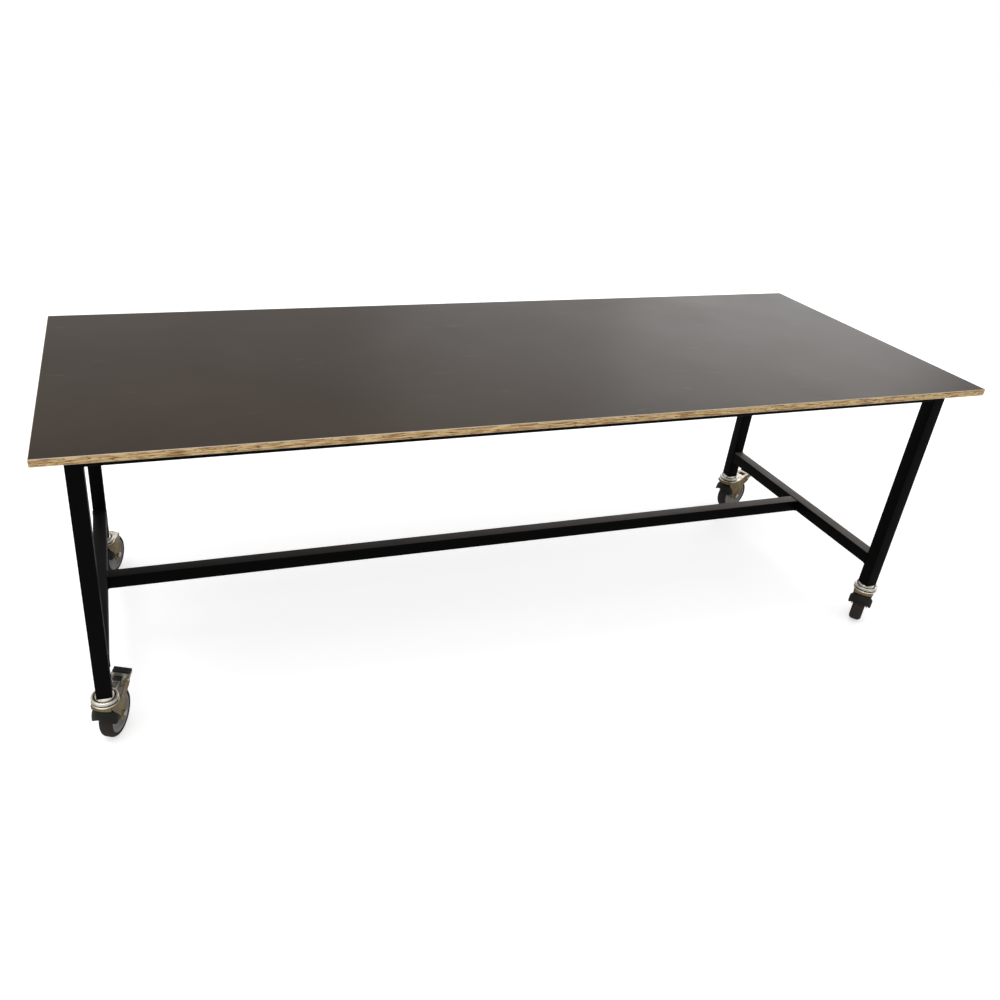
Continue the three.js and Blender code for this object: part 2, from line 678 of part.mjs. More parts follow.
// Zinc lever of the brake: arms between the tail's walls, a broad end, and the shoe behind the tread
function brakeLever() {
  const shoeInner = axleZ / Math.cos(Math.PI / TREAD_STEPS) + SHOE_GAP;
  const shoeOuter = shoeInner + SHOE_THICKNESS;
  const steps = 4;
  const shoe = [
    ...arcRoundAxle(shoeInner, SHOE_LOW_ANGLE, SHOE_HIGH_ANGLE, steps, false),
    [PIVOT_REACH - SHOE_ROOT, pivotZ], [PIVOT_REACH + SHOE_ROOT, pivotZ],
    ...arcRoundAxle(shoeOuter, SHOE_HIGH_ANGLE, SHOE_LOW_ANGLE, steps, false),
  ].map(released);
  const heel = [leverBack + ARM_BACK_SETBACK, pivotZ - ARM_BACK_DEPTH];
  const end = [
    [leverReach, pivotZ + LEVER_END_RISE - LEVER_END_DEPTH],
    [leverReach, leverTopZ(leverReach)], [leverBack, leverTopZ(leverBack)],
  ];
  const arms = [
    [releaseFront, pivotZ - ARM_FRONT_DEPTH], [PIVOT_REACH, pivotZ - ARM_DEPTH], heel, ...end,
    [PIVOT_REACH, leverTopZ(PIVOT_REACH)], [releaseFront, leverTopZ(releaseFront)],
  ];
  const tip = [[leverBack, heel[1]], heel, ...end];
  const hollowHalf = LEVER_WIDTH / 2 - SHEET;
  const hollow = box(
    [PIVOT_REACH + 2 * PIN_RADIUS, -hollowHalf, pivotZ - LEVER_WIDTH],
    [leverReach - SHEET, hollowHalf, pivotZ + LEVER_RISE - SHEET / 2],
  );
  const pin = crossBar(PIVOT_REACH, pivotZ, boreRadius(PIN_RADIUS), -PAD_WIDTH, PAD_WIDTH, BOLT_STEPS);
  const body = cut(join([slab(arms, LEVER_WIDTH), slab(tip, PAD_WIDTH)]), [hollow]);
  return geometryOf(cut(body.add(solid(slab(shoe, LEVER_WIDTH - 4 * SHEET))), [pin]));
}

// Black rocker pad, one moulding: the outer half locks, the raised inner half releases
function brakePad() {
  const base = (s) => leverTopZ(s) + FIT_GAP;
  const block = (from, to, chamfer) => [
    [from, base(from)], [to, base(to)], [to, base(to) + PAD_HEIGHT - chamfer],
    [to - chamfer, base(to) + PAD_HEIGHT], [from + chamfer, base(from) + PAD_HEIGHT],
    [from, base(from) + PAD_HEIGHT - chamfer],
  ];
  const from = leverReach - PAD_LENGTH;
  const low = releaseFront;
  const stripFrom = PIVOT_REACH - RELEASE_BACK - STRIP_OVERLAP;
  const stripTo = from + STRIP_OVERLAP;
  const strip = [
    [stripFrom, base(PIVOT_REACH)], [stripTo, base(stripTo)],
    [stripTo, base(stripTo) + PAD_STRIP], [stripFrom, base(PIVOT_REACH) + PAD_STRIP],
  ];
  return geometryOf(join([
    slab(block(from, leverReach, PAD_CHAMFER), PAD_WIDTH),
    slab(block(low, low + RELEASE_LENGTH, RELEASE_CHAMFER), RELEASE_WIDTH),
    slab(strip, RELEASE_WIDTH - 2 * WINDOW_GAP),
  ]));
}

function pedalPin() {
  const half = forkHalfWidth(PIVOT_REACH, pivotZ) + PIN_STUB;
  return crossBar(PIVOT_REACH, pivotZ, PIN_RADIUS, -half, half, BOLT_STEPS);
}

// One castor, standing on the floor below its swivel axis, trailing towards its own +X
function castor({ place, x, y, heading, braked }) {
  const group = new THREE.Group();
  group.position.set(x * legX, y * legY, 0);
  group.rotation.z = radians(heading);
  const add = (piece, geometry, finish) => group.add(named(`castor_${place}_${piece}`, geometry, finish));
  add('head', castorHead(), 'zinc');
  add('king_bolt', kingBolt(), 'steel');
  add('bearing', castorBearing(), 'steel');
  add('fork', castorFork(braked), 'zinc');
  add('guard', wheelGuard(), 'plastic');
  add('axle_bolt', axleBolt(), 'steel');
  add('axle_nut', axleNut(), 'steel');
  add('wheel_core', wheelCore(), 'core');
  add('wheel_tread', wheelTread(), 'rubber');
  if (braked) {
    add('brake_lever', brakeLever(), 'zinc');
    add('brake_pad', brakePad(), 'plastic');
    add('brake_pin', pedalPin(), 'steel');
  }
  return group;
}

const table = new THREE.Group();
table.add(named('plywood_top', panel(), 'film'));
table.add(tableFrame());
for (const entry of CASTORS) table.add(castor(entry));

export default table;
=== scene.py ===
"""The looks of a mobile assembly table, built round its CAD frame: film-faced plywood top, black
square-tube frame and zinc-plated swivel castors. Sizes are in millimetres until a mesh is made."""

import json
import math

import bmesh
import bpy
from mathutils import Matrix, Vector

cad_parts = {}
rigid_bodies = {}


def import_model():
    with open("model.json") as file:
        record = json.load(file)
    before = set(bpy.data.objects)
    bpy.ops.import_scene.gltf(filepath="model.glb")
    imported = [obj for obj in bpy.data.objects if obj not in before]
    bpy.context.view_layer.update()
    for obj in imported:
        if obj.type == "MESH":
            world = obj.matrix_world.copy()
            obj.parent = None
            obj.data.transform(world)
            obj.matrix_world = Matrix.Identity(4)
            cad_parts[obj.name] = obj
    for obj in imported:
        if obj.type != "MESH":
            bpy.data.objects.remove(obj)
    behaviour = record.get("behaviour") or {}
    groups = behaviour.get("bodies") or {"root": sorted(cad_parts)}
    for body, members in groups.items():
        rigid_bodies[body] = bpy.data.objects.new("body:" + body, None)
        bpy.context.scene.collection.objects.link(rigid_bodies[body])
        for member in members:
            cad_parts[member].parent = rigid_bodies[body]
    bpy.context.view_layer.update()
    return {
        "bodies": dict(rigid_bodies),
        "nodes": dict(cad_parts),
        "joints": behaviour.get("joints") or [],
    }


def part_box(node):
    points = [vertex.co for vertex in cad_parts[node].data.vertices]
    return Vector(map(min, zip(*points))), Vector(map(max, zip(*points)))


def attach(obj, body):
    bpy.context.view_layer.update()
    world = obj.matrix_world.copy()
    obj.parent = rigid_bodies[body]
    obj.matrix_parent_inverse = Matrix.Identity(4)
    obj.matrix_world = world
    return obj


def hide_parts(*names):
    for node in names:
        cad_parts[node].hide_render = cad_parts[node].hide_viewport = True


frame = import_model()

MM = 0.001
PLACES = ("front_left", "front_right", "rear_left", "rear_right")

# Plywood top and frame
PLY_EASE = 1.2
PLY_CORNER = 3.0
PLIES = 13
FILM_FACING = 0.98
VENEER_FACING = 0.02
TUBE = 38.0
TUBE_WALL = 2.0
TUBE_CORNER = 3.0
WELD_RADIUS = 1.9
WELD_RIPPLE = 0.25
WELD_PITCH = 2.6
SCREW_HEAD = 5.5
SCREW_RISE = 3.2
SCREW_SPACING = 420.0
SCREW_EASE = 0.3
WASHER_RADIUS = 7.5
WASHER_RISE = 0.8
WASHER_SINK = 0.2

# Wheel, about the castor's swivel axis on the floor, trailing towards +X
FIT_GAP = 0.3
RUN_GAP = 2 * FIT_GAP
TRAIL = 40.0
WHEEL_RADIUS = 62.5
TREAD_WIDTH = 36.0
TREAD_DEPTH = 12.0
TREAD_SHOULDER = 12.0
TREAD_EDGE = 1.5
SHOULDER_ANGLE = 80.0
RIM_WIDTH = 32.0
RIM_INNER = 44.0
HUB_RADIUS = 14.0
CORE_EASE = 1.0

# Dished web of the wheel's core, from the hub outwards, as (radius, half thickness)
WEB_DISH = ((14.6, 9.0), (17.0, 6.5), (36.0, 6.0), (40.5, 8.0))

# Swivel head and the fork's crown, turned about the swivel axis
KING_RADIUS = 6.0
KING_BORE = KING_RADIUS + RUN_GAP
HEAD_RADIUS = 33.0
HEAD_EASE = 1.2
HEAD_CUP = 28.0
HEAD_CUP_RISE = 3.8
HEAD_ROLL = 3.2
HEAD_ROLL_RISE = 6.0
LIP_Z = 141.2
SEAT_Z = 155.0
SEAT_WALL = 22.6
SEAT_RADIUS = 21.2
CROWN_Z = 131.0
CROWN_TOP_Z = 140.0
CROWN_EASE = 1.0
CROWN_WALL = 31.2
CROWN_FOOT = 29.0
CROWN_FOOT_RISE = 2.6
CROWN_ROLL = 2.1
CROWN_ROLL_REACH = 31.7
CROWN_ROLL_RISE = 4.6
CROWN_ROLL_ANGLES = (-110.0, 80.0)
RACE_Z = 136.0
RACE_RADIUS = 28.0
RACE_DRAFT = 0.2

# Turned profiles as (radius, height above the floor)
HEAD_GROOVE = ((26.2, 146.8), (24.6, 147.6), (23.4, 150.2))
# Black ring in the swivel gap under the head's rim: a real swivel seal, and painted shade of the
# gap
SWIVEL_SEAL_AND_SHADE = ((31.0, 137.4), (31.8, 137.4), (31.9, 140.6), (31.0, 140.8))
# Black ring in the groove round the seat: painted shade, a dark ring where the groove is only in
# shadow
SEAT_GROOVE_SHADE = ((24.0, 147.0), (26.9, 147.0), (27.3, 149.2), (24.0, 149.2))

# Pressed fork and axle
SHEET = 2.5
SHEET_LAP = 1.0
FORK_HALF = 24.0
FORK_FLARE = 7.0
FLARE_CENTRE = 14.0
FLARE_REACH = 38.0
FORK_WAIST = 3.0
WAIST_CENTRE = 70.0
WAIST_REACH = 18.0
FORK_EASE = 0.5
PLATE_HALF = 20.0
AXLE_BOSS = 16.0
BOSS_ANGLES = (12, 30, 50, 70, 90)
FRONT_REACH = 26.0
REAR_REACH = 60.0
APRON_DEPTH = 9.0
REAR_APRON_DEPTH = 6.0
APRON_BULGE = 5.0
RIB_RADIUS = 2.2
RIB_SPACING = 18.0
RIB_LEAN = 0.9
RIB_BASE = 0.4
RIB_END = 0.15
AXLE_RADIUS = 5.0
AXLE_FACE = FORK_HALF + FIT_GAP
AXLE_HEAD_RADIUS = 8.5
AXLE_HEAD_HEIGHT = 5.5
AXLE_SINK = 1.0
AXLE_STUB = 2.0
AXLE_CHAMFER = 0.8
AXLE_EASE = 0.5

# Front wheel guard
GUARD_HALF = 33.5
GUARD_WALL = 3.0
GUARD_GAP = 3.0
GUARD_TOP_Z = 123.0
GUARD_SIDE_Z = 97.0
GUARD_LIP_Z = 98.0
GUARD_LIP_FALL = 21.0
GUARD_TIP_RISE = 9.0
GUARD_TIP_CURVE = 4
GUARD_NOSE = 34.0
GUARD_SIDE_NOSE = 12.0
GUARD_BESIDE = (20.0, 24.0)
GUARD_EASE = 1.2
TONGUE_HALF = 17.9
TONGUE_TOP_HALF = 23.0
TONGUE_LOW_ANGLE = 32.0
TONGUE_HIGH_ANGLE = 60.0

# Brake
TAIL_REACH = 92.0
TAIL_START = 48.0
TAIL_SLOPE = 0.24
TAIL_BLEND = (0.42, 0.86)
TAIL_GAP = 2.0
PIVOT_REACH = 84.0
PIVOT_Z = CROWN_Z
LEVER_REACH = 112.0
LEVER_BACK = TAIL_REACH + TAIL_GAP
LEVER_HALF = 18.5
LEVER_RISE = 5.0
LEVER_DIP = 4.0
LEVER_BACK_RISE = 7.5
LEVER_END_RISE = 9.0
LEVER_END_DEPTH = 3.0
LEVER_EASE = 0.4
CHEEK_FRONT_DEPTH = 5.0
CHEEK_DEPTH = 6.0
CHEEK_HEEL = 3.0
TIP_DEPTH = 2.4
TIP_OVERLAP = 1.0
ROOF_INSET = 1.0
PAD_HALF = 23.0
PAD_HEIGHT = 7.0
PAD_LENGTH = 17.0
PAD_EDGE = 2.0
PAD_MARGIN = 3.0
PAD_GROOVES = 3
PAD_EASE = 0.5
GROOVE_HALF = 1.2
GROOVE_FLOOR = 0.6
GROOVE_DEPTH = 1.1
RELEASE_HALF = 9.0
RELEASE_LENGTH = 12.0
RELEASE_EDGE = 1.5
RELEASE_FRONT = 70.0
RELEASE_BACK = RELEASE_FRONT + RELEASE_LENGTH
STRIP_HALF = 7.0
STRIP_HEIGHT = 2.0
STRIP_LAP = 4.0
WINDOW_GAP = 2.0
PIN_RADIUS = 3.0
PIN_STUB = 1.5
PIN_LIP = 1.0
PIN_LIP_FOOT = 1.2
SHOE_GAP = 0.9
SHOE_THICKNESS = 3.0
SHOE_ROOT = 5.0
SHOE_LOW_ANGLE = 38.0
SHOE_HIGH_ANGLE = 52.0
BRAKE_TRAVEL = 10.0

# Facets
ROUND_STEPS = 72
TREAD_STEPS = 96
BOLT_STEPS = 32
HEXAGON_STEPS = 6
PLY_CORNER_STEPS = 6
TUBE_CORNER_STEPS = 5
WELD_CORNER_STEPS = 4
WELD_STEPS = 6
HEAD_ROLL_STEPS = 14
CROWN_ROLL_STEPS = 10
SHOULDER_STEPS = 12
PLATE_STEPS = 16
STRIP_ROWS = 8
RIB_ROWS = 6
RIB_STEPS = 8
DOME_STEPS = 10
GUARD_STEPS = 32
TONGUE_STEPS = 14
ROOF_STEPS = 10
SHOE_STEPS = 8
ACROSS_STEPS = 4
EASE_STEPS = 2

# Limits of the mesh work
NEAR_AXIS = 0.01
JOIN_DISTANCE = 1e-4
SLIVER = 1e-5
SHARP_ANGLE = math.radians(40)
SHADE_ANGLE = math.radians(50)

# Colours
FILM_BROWN = (0.028, 0.018, 0.011)
FILM_DARK = (0.024, 0.0155, 0.0095)
FILM_LIGHT = (0.034, 0.0225, 0.0145)
FILM_SCUFF = (0.055, 0.043, 0.034)
# Painted highlight of the top's eased edge
EDGE_HIGHLIGHT = (0.52, 0.44, 0.34)
VENEER_TAN = (0.5, 0.33, 0.18)
VENEER_GLUE = (0.22, 0.12, 0.045)
VENEER_DARK = (0.78, 0.53, 0.22)
VENEER_LIGHT = (0.94, 0.72, 0.38)
VENEER_STREAK = (0.42, 0.29, 0.17)
VENEER_FLECK = (0.22, 0.14, 0.09)
POWDER_BLACK = (0.0012, 0.0012, 0.0011)
# Painted sheen of the frame's upward faces
POWDER_PAINTED_SHEEN = (0.12, 0.104, 0.095)
ZINC_DARK = (0.40, 0.36, 0.30)
ZINC_LIGHT = (0.82, 0.78, 0.70)
# Side plates: yellow zinc with a painted brown reflection of the surroundings
PLATE_REFLECTION_DARK = (0.17, 0.122, 0.05)
PLATE_REFLECTION_LIGHT = (0.25, 0.185, 0.085)
STEEL_GREY = (0.5, 0.49, 0.47)
PLASTIC_BLACK = (0.008, 0.0075, 0.007)
# Black plastic made lighter for the pad: painted light on its top
PAD_BLACK_LIT = (0.02, 0.0175, 0.0165)
CORE_GREY = (0.23, 0.22, 0.21)
RUBBER_DARK = (0.024, 0.020, 0.017)
FLOOR_GREY = (0.8, 0.8, 0.8)
WHITE = (1, 1, 1)

# Painted sheen on the frame's upward faces, for the bright studio mirrored in them on the right:
# from none at the first X to most at the second, in metres
PAINTED_SHEEN_X = (-1.2, 1.0)

# Sockets of a colour mix node
MIX_A = 6
MIX_B = 7
MIX_RESULT = 2

# Studio, in metres: each light has its place, target, size and power
FLOOR_HALF = 30.0
FLOOR_LIFT = 0.55
SKY_LIGHT = 0.7
SKY_SEEN = 1.0
LIGHTS = {
    "key": ((-1.5, -1.0, 4.0), (0, 0, 0.6), (3.0, 2.0), 70),
    "sheen": ((4.136, 3.758, 2.1), (0.436, 0.658, 0.84), (2.55, 3.0), 45),
    "half_sheen": ((2.52, 5.70, 2.3), (-1.18, 2.6, 1.04), (2.5, 3.4), 20.5),
}

# Camera fitted to the photograph
CAMERA_PLACE = (-1.003377, -2.172540, 1.684687)
CAMERA_FORWARD = (0.28580071, 0.83065182, -0.47784465)
CAMERA_RIGHT = (0.95422441, -0.29256174, 0.06215635)
CAMERA_FOCAL = 901.595
CAMERA_CENTRE = (414.807, 487.995)
CAMERA_FAR = 100
PICTURE = 1000.0
SENSOR = 36.0


def mix(a, b, t):
    return a + (b - a) * t


def spread(low, high, steps):
    """Evenly spaced values from low to high, with both ends."""
    return [mix(low, high, i / steps) for i in range(steps + 1)]


def smooth(low, high, value):
    t = min(1.0, max(0.0, (value - low) / (high - low)))
    return t * t * (3 - 2 * t)


# Meshes: a part is a list of points and a list of faces


def merge(*parts):
    points = []
    faces = []
    for more_points, more_faces in parts:
        start = len(points)
        points += more_points
        faces += [[k + start for k in face] for face in more_faces]
    return points, faces


def shell(near, far):
    """A closed shell between two grids of points with the same rows and columns."""
    rows = len(near)
    columns = len(near[0])
    points = [Vector(point) for grid in (near, far) for row in grid for point in row]
    back = rows * columns
    faces = []
    for j in range(rows - 1):
        for i in range(columns - 1):
            a = j * columns + i
            quad = [a, a + 1, a + columns + 1, a + columns]
            faces.append(quad)
            faces.append([k + back for k in reversed(quad)])
    rim = list(range(columns))
    rim += [j * columns + columns - 1 for j in range(1, rows)]
    rim += [(rows - 1) * columns + i for i in range(columns - 2, -1, -1)]
    rim += [j * columns for j in range(rows - 2, 0, -1)]
    for k, a in enumerate(rim):
        b = rim[(k + 1) % len(rim)]
        faces.append([a, a + back, b + back, b])
    return points, faces


def sheet(grid, offset):
    """A shell between a grid of points and the same grid moved by an offset."""
    return shell(grid, [[Vector(point) + Vector(offset) for point in row] for row in grid])


def thick_shell(grid, thickness):
    """A shell between a grid of points and the same grid moved along its normals."""
    near = [[Vector(point) for point in row] for row in grid]
    far = []
    for j, row in enumerate(near):
        before = near[max(0, j - 1)]
        after = near[min(len(near) - 1, j + 1)]
        moved_row = []
        for i, point in enumerate(row):
            across = row[min(len(row) - 1, i + 1)] - row[max(0, i - 1)]
            normal = across.cross(after[i] - before[i]).normalized()
            moved_row.append(point + normal * thickness)
        far.append(moved_row)
    return shell(near, far)


def loft(rings, closed):
    """A solid through a row of outlines, closed on its first outline or capped at both ends."""
    count = len(rings[0])
    points = [Vector(point) for ring in rings for point in ring]
    spans = len(rings)
    faces = []
    if not closed:
        spans -= 1
        faces.append(list(range(count)))
        faces.append([spans * count + k for k in reversed(range(count))])
    for i in range(spans):
        here = i * count
        there = (i + 1) % len(rings) * count
        for j in range(count):
            k = (j + 1) % count
            faces.append([here + j, there + j, there + k, here + k])
    return points, faces


def turned(profile, steps=ROUND_STEPS):
    """A body turned about the vertical axis from a closed profile of (radius, height)."""
    rings = []
    for i in range(steps):
        angle = 2 * math.pi * i / steps
        rings.append([(r * math.cos(angle), r * math.sin(angle), height) for r, height in profile])
    return loft(rings, closed=True)


def mirrored(half):
    """A turned profile that is alike above and below, from its upper half."""
    return [(radius, -height) for radius, height in half] + list(reversed(half))


def disc(radius, low, high, steps):
    return turned([(NEAR_AXIS, low), (radius, low), (radius, high), (NEAR_AXIS, high)], steps)


def on_axle(part, s=TRAIL, z=WHEEL_RADIUS):
    """Lays a turned body on its side, along the castor's axle."""
    points, faces = part
    return [Vector((s + p.x, p.z, z - p.y)) for p in points], faces


def slab(outline, half):
    """A solid with the given side outline (along, up), reaching half its width to each side."""
    return loft([[(s, y, z) for s, z in outline] for y in (-half, half)], closed=False)


def moved(part, offset):
    points, faces = part
    return [p + Vector(offset) for p in points], faces


def on_sides(outline, width, middle):
    """Two slabs with the same outline, one on each side of the castor."""
    return [moved(slab(outline, width / 2), (0, side * middle, 0)) for side in (-1, 1)]


def arc(cx, cy, radius, start, end, steps):
    """Points on a circle, angles in degrees."""
    angles = [math.radians(degrees) for degrees in spread(start, end, steps)]
    return [(cx + radius * math.cos(a), cy + radius * math.sin(a)) for a in angles]


def rounded_rectangle(width, height, radius, steps):
    points = []
    for x, y, start in ((1, 1, 0), (-1, 1, 90), (-1, -1, 180), (1, -1, 270)):
        centre = (x * (width / 2 - radius), y * (height / 2 - radius))
        points += arc(*centre, radius, start, start + 90, steps)
    return points


def make(name, part, material, body, nodes=(), matrix=None, ease=0.0):
    """Makes an object, rounds its sharp edges by ease, and hangs it on a CAD body.

    Where part is a list, each entry takes the material at the same place in the material list."""
    mesh = bpy.data.meshes.new(name)
    bm = bmesh.new()
    for number, (points, faces) in enumerate(part if isinstance(part, list) else [part]):
        vertices = [bm.verts.new(p) for p in points]
        for face in faces:
            bm.faces.new([vertices[k] for k in face]).material_index = number
    bmesh.ops.remove_doubles(bm, verts=bm.verts, dist=JOIN_DISTANCE)
    bmesh.ops.dissolve_degenerate(bm, edges=bm.edges, dist=SLIVER)
    bmesh.ops.recalc_face_normals(bm, faces=bm.faces)
    if ease:
        paired = [e for e in bm.edges if len(e.link_faces) == 2]
        sharp = [e for e in paired if e.calc_face_angle() > SHARP_ANGLE]
        bmesh.ops.bevel(bm, geom=sharp, offset=ease, segments=EASE_STEPS, profile=0.5,
                        affect="EDGES", clamp_overlap=True)
    bmesh.ops.transform(bm, matrix=matrix or Matrix.Scale(MM, 4), verts=bm.verts)
    bm.to_mesh(mesh)
    bm.free()
    mesh.polygons.foreach_set("use_smooth", [True] * len(mesh.polygons))
    mesh.set_sharp_from_angle(angle=SHADE_ANGLE)
    for one in material if isinstance(material, list) else [material]:
        mesh.materials.append(one)
    obj = bpy.data.objects.new(name, mesh)
    bpy.context.collection.objects.link(obj)
    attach(obj, body)
    if nodes:
        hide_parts(*nodes)
    return obj


# Materials


def shader(name, colour, roughness, metallic=0.0, specular=0.5):
    material = bpy.data.materials.new(name)
    material.use_nodes = True
    bsdf = material.node_tree.nodes["Principled BSDF"]
    bsdf.inputs["Base Color"].default_value = (*colour, 1)
    bsdf.inputs["Roughness"].default_value = roughness
    bsdf.inputs["Metallic"].default_value = metallic
    bsdf.inputs["Specular IOR Level"].default_value = specular
    return material, material.node_tree, bsdf


def node(tree, kind, **values):
    made = tree.nodes.new(kind)
    for key, value in values.items():
        if key in made.inputs:
            made.inputs[key].default_value = value
        else:
            setattr(made, key, value)
    return made


def coordinates(tree, scale=(1, 1, 1)):
    place = node(tree, "ShaderNodeTexCoord")
    mapping = node(tree, "ShaderNodeMapping", Scale=scale)
    tree.links.new(place.outputs["Object"], mapping.inputs["Vector"])
    return mapping.outputs["Vector"]


def noise(tree, scale, detail, stretch=(1, 1, 1)):
    made = node(tree, "ShaderNodeTexNoise", Scale=scale, Detail=detail)
    tree.links.new(coordinates(tree, stretch), made.inputs["Vector"])
    return made.outputs["Fac"]


def ramp(tree, source, *stops):
    """A colour ramp by its stops, each a place and a colour or a grey."""
    made = node(tree, "ShaderNodeValToRGB")
    elements = made.color_ramp.elements
    while len(elements) < len(stops):
        elements.new(0.5)
    for element, (place, colour) in zip(elements, stops):
        element.position = place
        element.color = (*colour, 1) if isinstance(colour, tuple) else (colour, colour, colour, 1)
    tree.links.new(source, made.inputs["Fac"])
    return made.outputs["Color"]


def bump(tree, bsdf, height, strength, distance):
    made = node(tree, "ShaderNodeBump", Strength=strength, Distance=distance)
    tree.links.new(height, made.inputs["Height"])
    tree.links.new(made.outputs["Normal"], bsdf.inputs["Normal"])


def film_material():
    """Brown phenolic film: faint cloudy tone, light scuffs and a slightly uneven sheen."""
    material, tree, bsdf = shader("brown_film", FILM_BROWN, roughness=0.35, specular=0.066)
    clouds = noise(tree, scale=2.2, detail=4)
    tone = ramp(tree, clouds, (0.3, FILM_DARK), (0.7, FILM_LIGHT))
    scuffs = noise(tree, scale=9, detail=8, stretch=(1, 3.5, 1))
    marks = ramp(tree, scuffs, (0.66, 0.0), (0.82, 1.0))
    worn = node(tree, "ShaderNodeMix", data_type="RGBA")
    tree.links.new(marks, worn.inputs["Factor"])
    tree.links.new(tone, worn.inputs[MIX_A])
    worn.inputs[MIX_B].default_value = (*FILM_SCUFF, 1)
    tree.links.new(worn.outputs[MIX_RESULT], bsdf.inputs["Base Color"])
    sheen = ramp(tree, noise(tree, scale=5, detail=5), (0.25, 0.335), (0.75, 0.375))
    tree.links.new(sheen, bsdf.inputs["Roughness"])
    bump(tree, bsdf, noise(tree, scale=260, detail=2), strength=0.06, distance=0.0004)
    return material


def veneer_material(low, high):
    """Bare plywood edge: thin veneers, light and dark in turn, with darker patches and gaps."""
    material, tree, bsdf = shader("veneer_edge", VENEER_TAN, roughness=0.62)
    place = node(tree, "ShaderNodeTexCoord")
    split = node(tree, "ShaderNodeSeparateXYZ")
    tree.links.new(place.outputs["Object"], split.inputs["Vector"])
    layer = node(tree, "ShaderNodeMapRange")
    layer.inputs["From Min"].default_value = low
    layer.inputs["From Max"].default_value = high
    layer.inputs["To Max"].default_value = PLIES * math.pi
    tree.links.new(split.outputs["Z"], layer.inputs["Value"])
    wave = node(tree, "ShaderNodeMath", operation="SINE")
    tree.links.new(layer.outputs["Result"], wave.inputs[0])
    squared = node(tree, "ShaderNodeMath", operation="MULTIPLY")
    tree.links.new(wave.outputs["Value"], squared.inputs[0])
    tree.links.new(wave.outputs["Value"], squared.inputs[1])
    bands = ramp(tree, squared.outputs["Value"], (0.04, VENEER_GLUE), (0.24, VENEER_DARK),
                 (1.0, VENEER_LIGHT))
    patches = noise(tree, scale=24, detail=8, stretch=(1, 1, 15))
    gaps = noise(tree, scale=62, detail=6, stretch=(1, 1, 6))
    streaks = ramp(tree, patches, (0.38, VENEER_STREAK), (0.57, 1.0))
    flecks = ramp(tree, gaps, (0.35, VENEER_FLECK), (0.44, 1.0))
    worn = bands
    for marks in (streaks, flecks):
        darker = node(tree, "ShaderNodeMix", data_type="RGBA", blend_type="MULTIPLY")
        darker.inputs[0].default_value = 1.0
        tree.links.new(worn, darker.inputs[MIX_A])
        tree.links.new(marks, darker.inputs[MIX_B])
        worn = darker.outputs[MIX_RESULT]
    tree.links.new(worn, bsdf.inputs["Base Color"])
    bump(tree, bsdf, squared.outputs["Value"], strength=0.25, distance=0.0004)
    return material


def powder_material():
    """Black powder coat with a fine orange peel, and a painted sheen on upward faces, more to the
    right.
    """
    material, tree, bsdf = shader("black_powder", POWDER_BLACK, roughness=0.45, specular=0.04)
    place = node(tree, "ShaderNodeTexCoord")
    facing = node(tree, "ShaderNodeSeparateXYZ")
    tree.links.new(place.outputs["Normal"], facing.inputs["Vector"])
    spot = node(tree, "ShaderNodeSeparateXYZ")
    tree.links.new(place.outputs["Object"], spot.inputs["Vector"])
    drift = node(tree, "ShaderNodeMapRange")
    drift.inputs["From Min"].default_value = PAINTED_SHEEN_X[0]
    drift.inputs["From Max"].default_value = PAINTED_SHEEN_X[1]
    tree.links.new(spot.outputs["X"], drift.inputs["Value"])
    amount = node(tree, "ShaderNodeMath", operation="MULTIPLY")
    upward = ramp(tree, facing.outputs["Z"], (0.7, 0.0), (0.98, 1.0))
    tree.links.new(upward, amount.inputs[0])
    tree.links.new(drift.outputs["Result"], amount.inputs[1])
    # Painted sheen: upward faces made lighter towards the right, for the reflection of the bright
    # studio
    painted_sheen = ramp(tree, amount.outputs["Value"], (0.0, POWDER_BLACK), (1.0, POWDER_PAINTED_SHEEN))
    tree.links.new(painted_sheen, bsdf.inputs["Base Color"])
    sheen = ramp(tree, noise(tree, scale=12, detail=4), (0.3, 0.38), (0.7, 0.52))
    tree.links.new(sheen, bsdf.inputs["Roughness"])
    bump(tree, bsdf, noise(tree, scale=900, detail=2), strength=0.12, distance=0.0003)
    return material


def zinc_material(name, dark, light, roughness):
    """Zinc plating with cloudy patches between a dark and a light tone."""
    material, tree, bsdf = shader(name, light, roughness, metallic=0.82)
    tone = ramp(tree, noise(tree, scale=34, detail=4), (0.36, dark), (0.62, light))
    tree.links.new(tone, bsdf.inputs["Base Color"])
    fine = noise(tree, scale=90, detail=3)
    sheen = ramp(tree, fine, (0.3, 0.8 * roughness), (0.7, 1.3 * roughness))
    tree.links.new(sheen, bsdf.inputs["Roughness"])
    return material


def steel_material():
    """Plain bright steel of bolts, nuts and pins."""
    material, tree, bsdf = shader("bright_steel", STEEL_GREY, roughness=0.3, metallic=1.0)
    sheen = ramp(tree, noise(tree, scale=160, detail=3), (0.3, 0.22), (0.7, 0.4))
    tree.links.new(sheen, bsdf.inputs["Roughness"])
    return material


def grained_material(name, colour, roughness, grain, depth):
    """Plastic or rubber with a fine even grain."""
    material, tree, bsdf = shader(name, colour, roughness, specular=0.18)
    light = tuple(min(1.0, 1.25 * c) for c in colour)
    tone = ramp(tree, noise(tree, scale=24, detail=4), (0.3, colour), (0.8, light))
    tree.links.new(tone, bsdf.inputs["Base Color"])
    bump(tree, bsdf, noise(tree, scale=grain, detail=2), strength=0.3, distance=depth)
    return material


top_low, top_high = (Vector(corner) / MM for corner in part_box("plywood_top"))
film = film_material()
veneer = veneer_material(top_low.z * MM, top_high.z * MM)
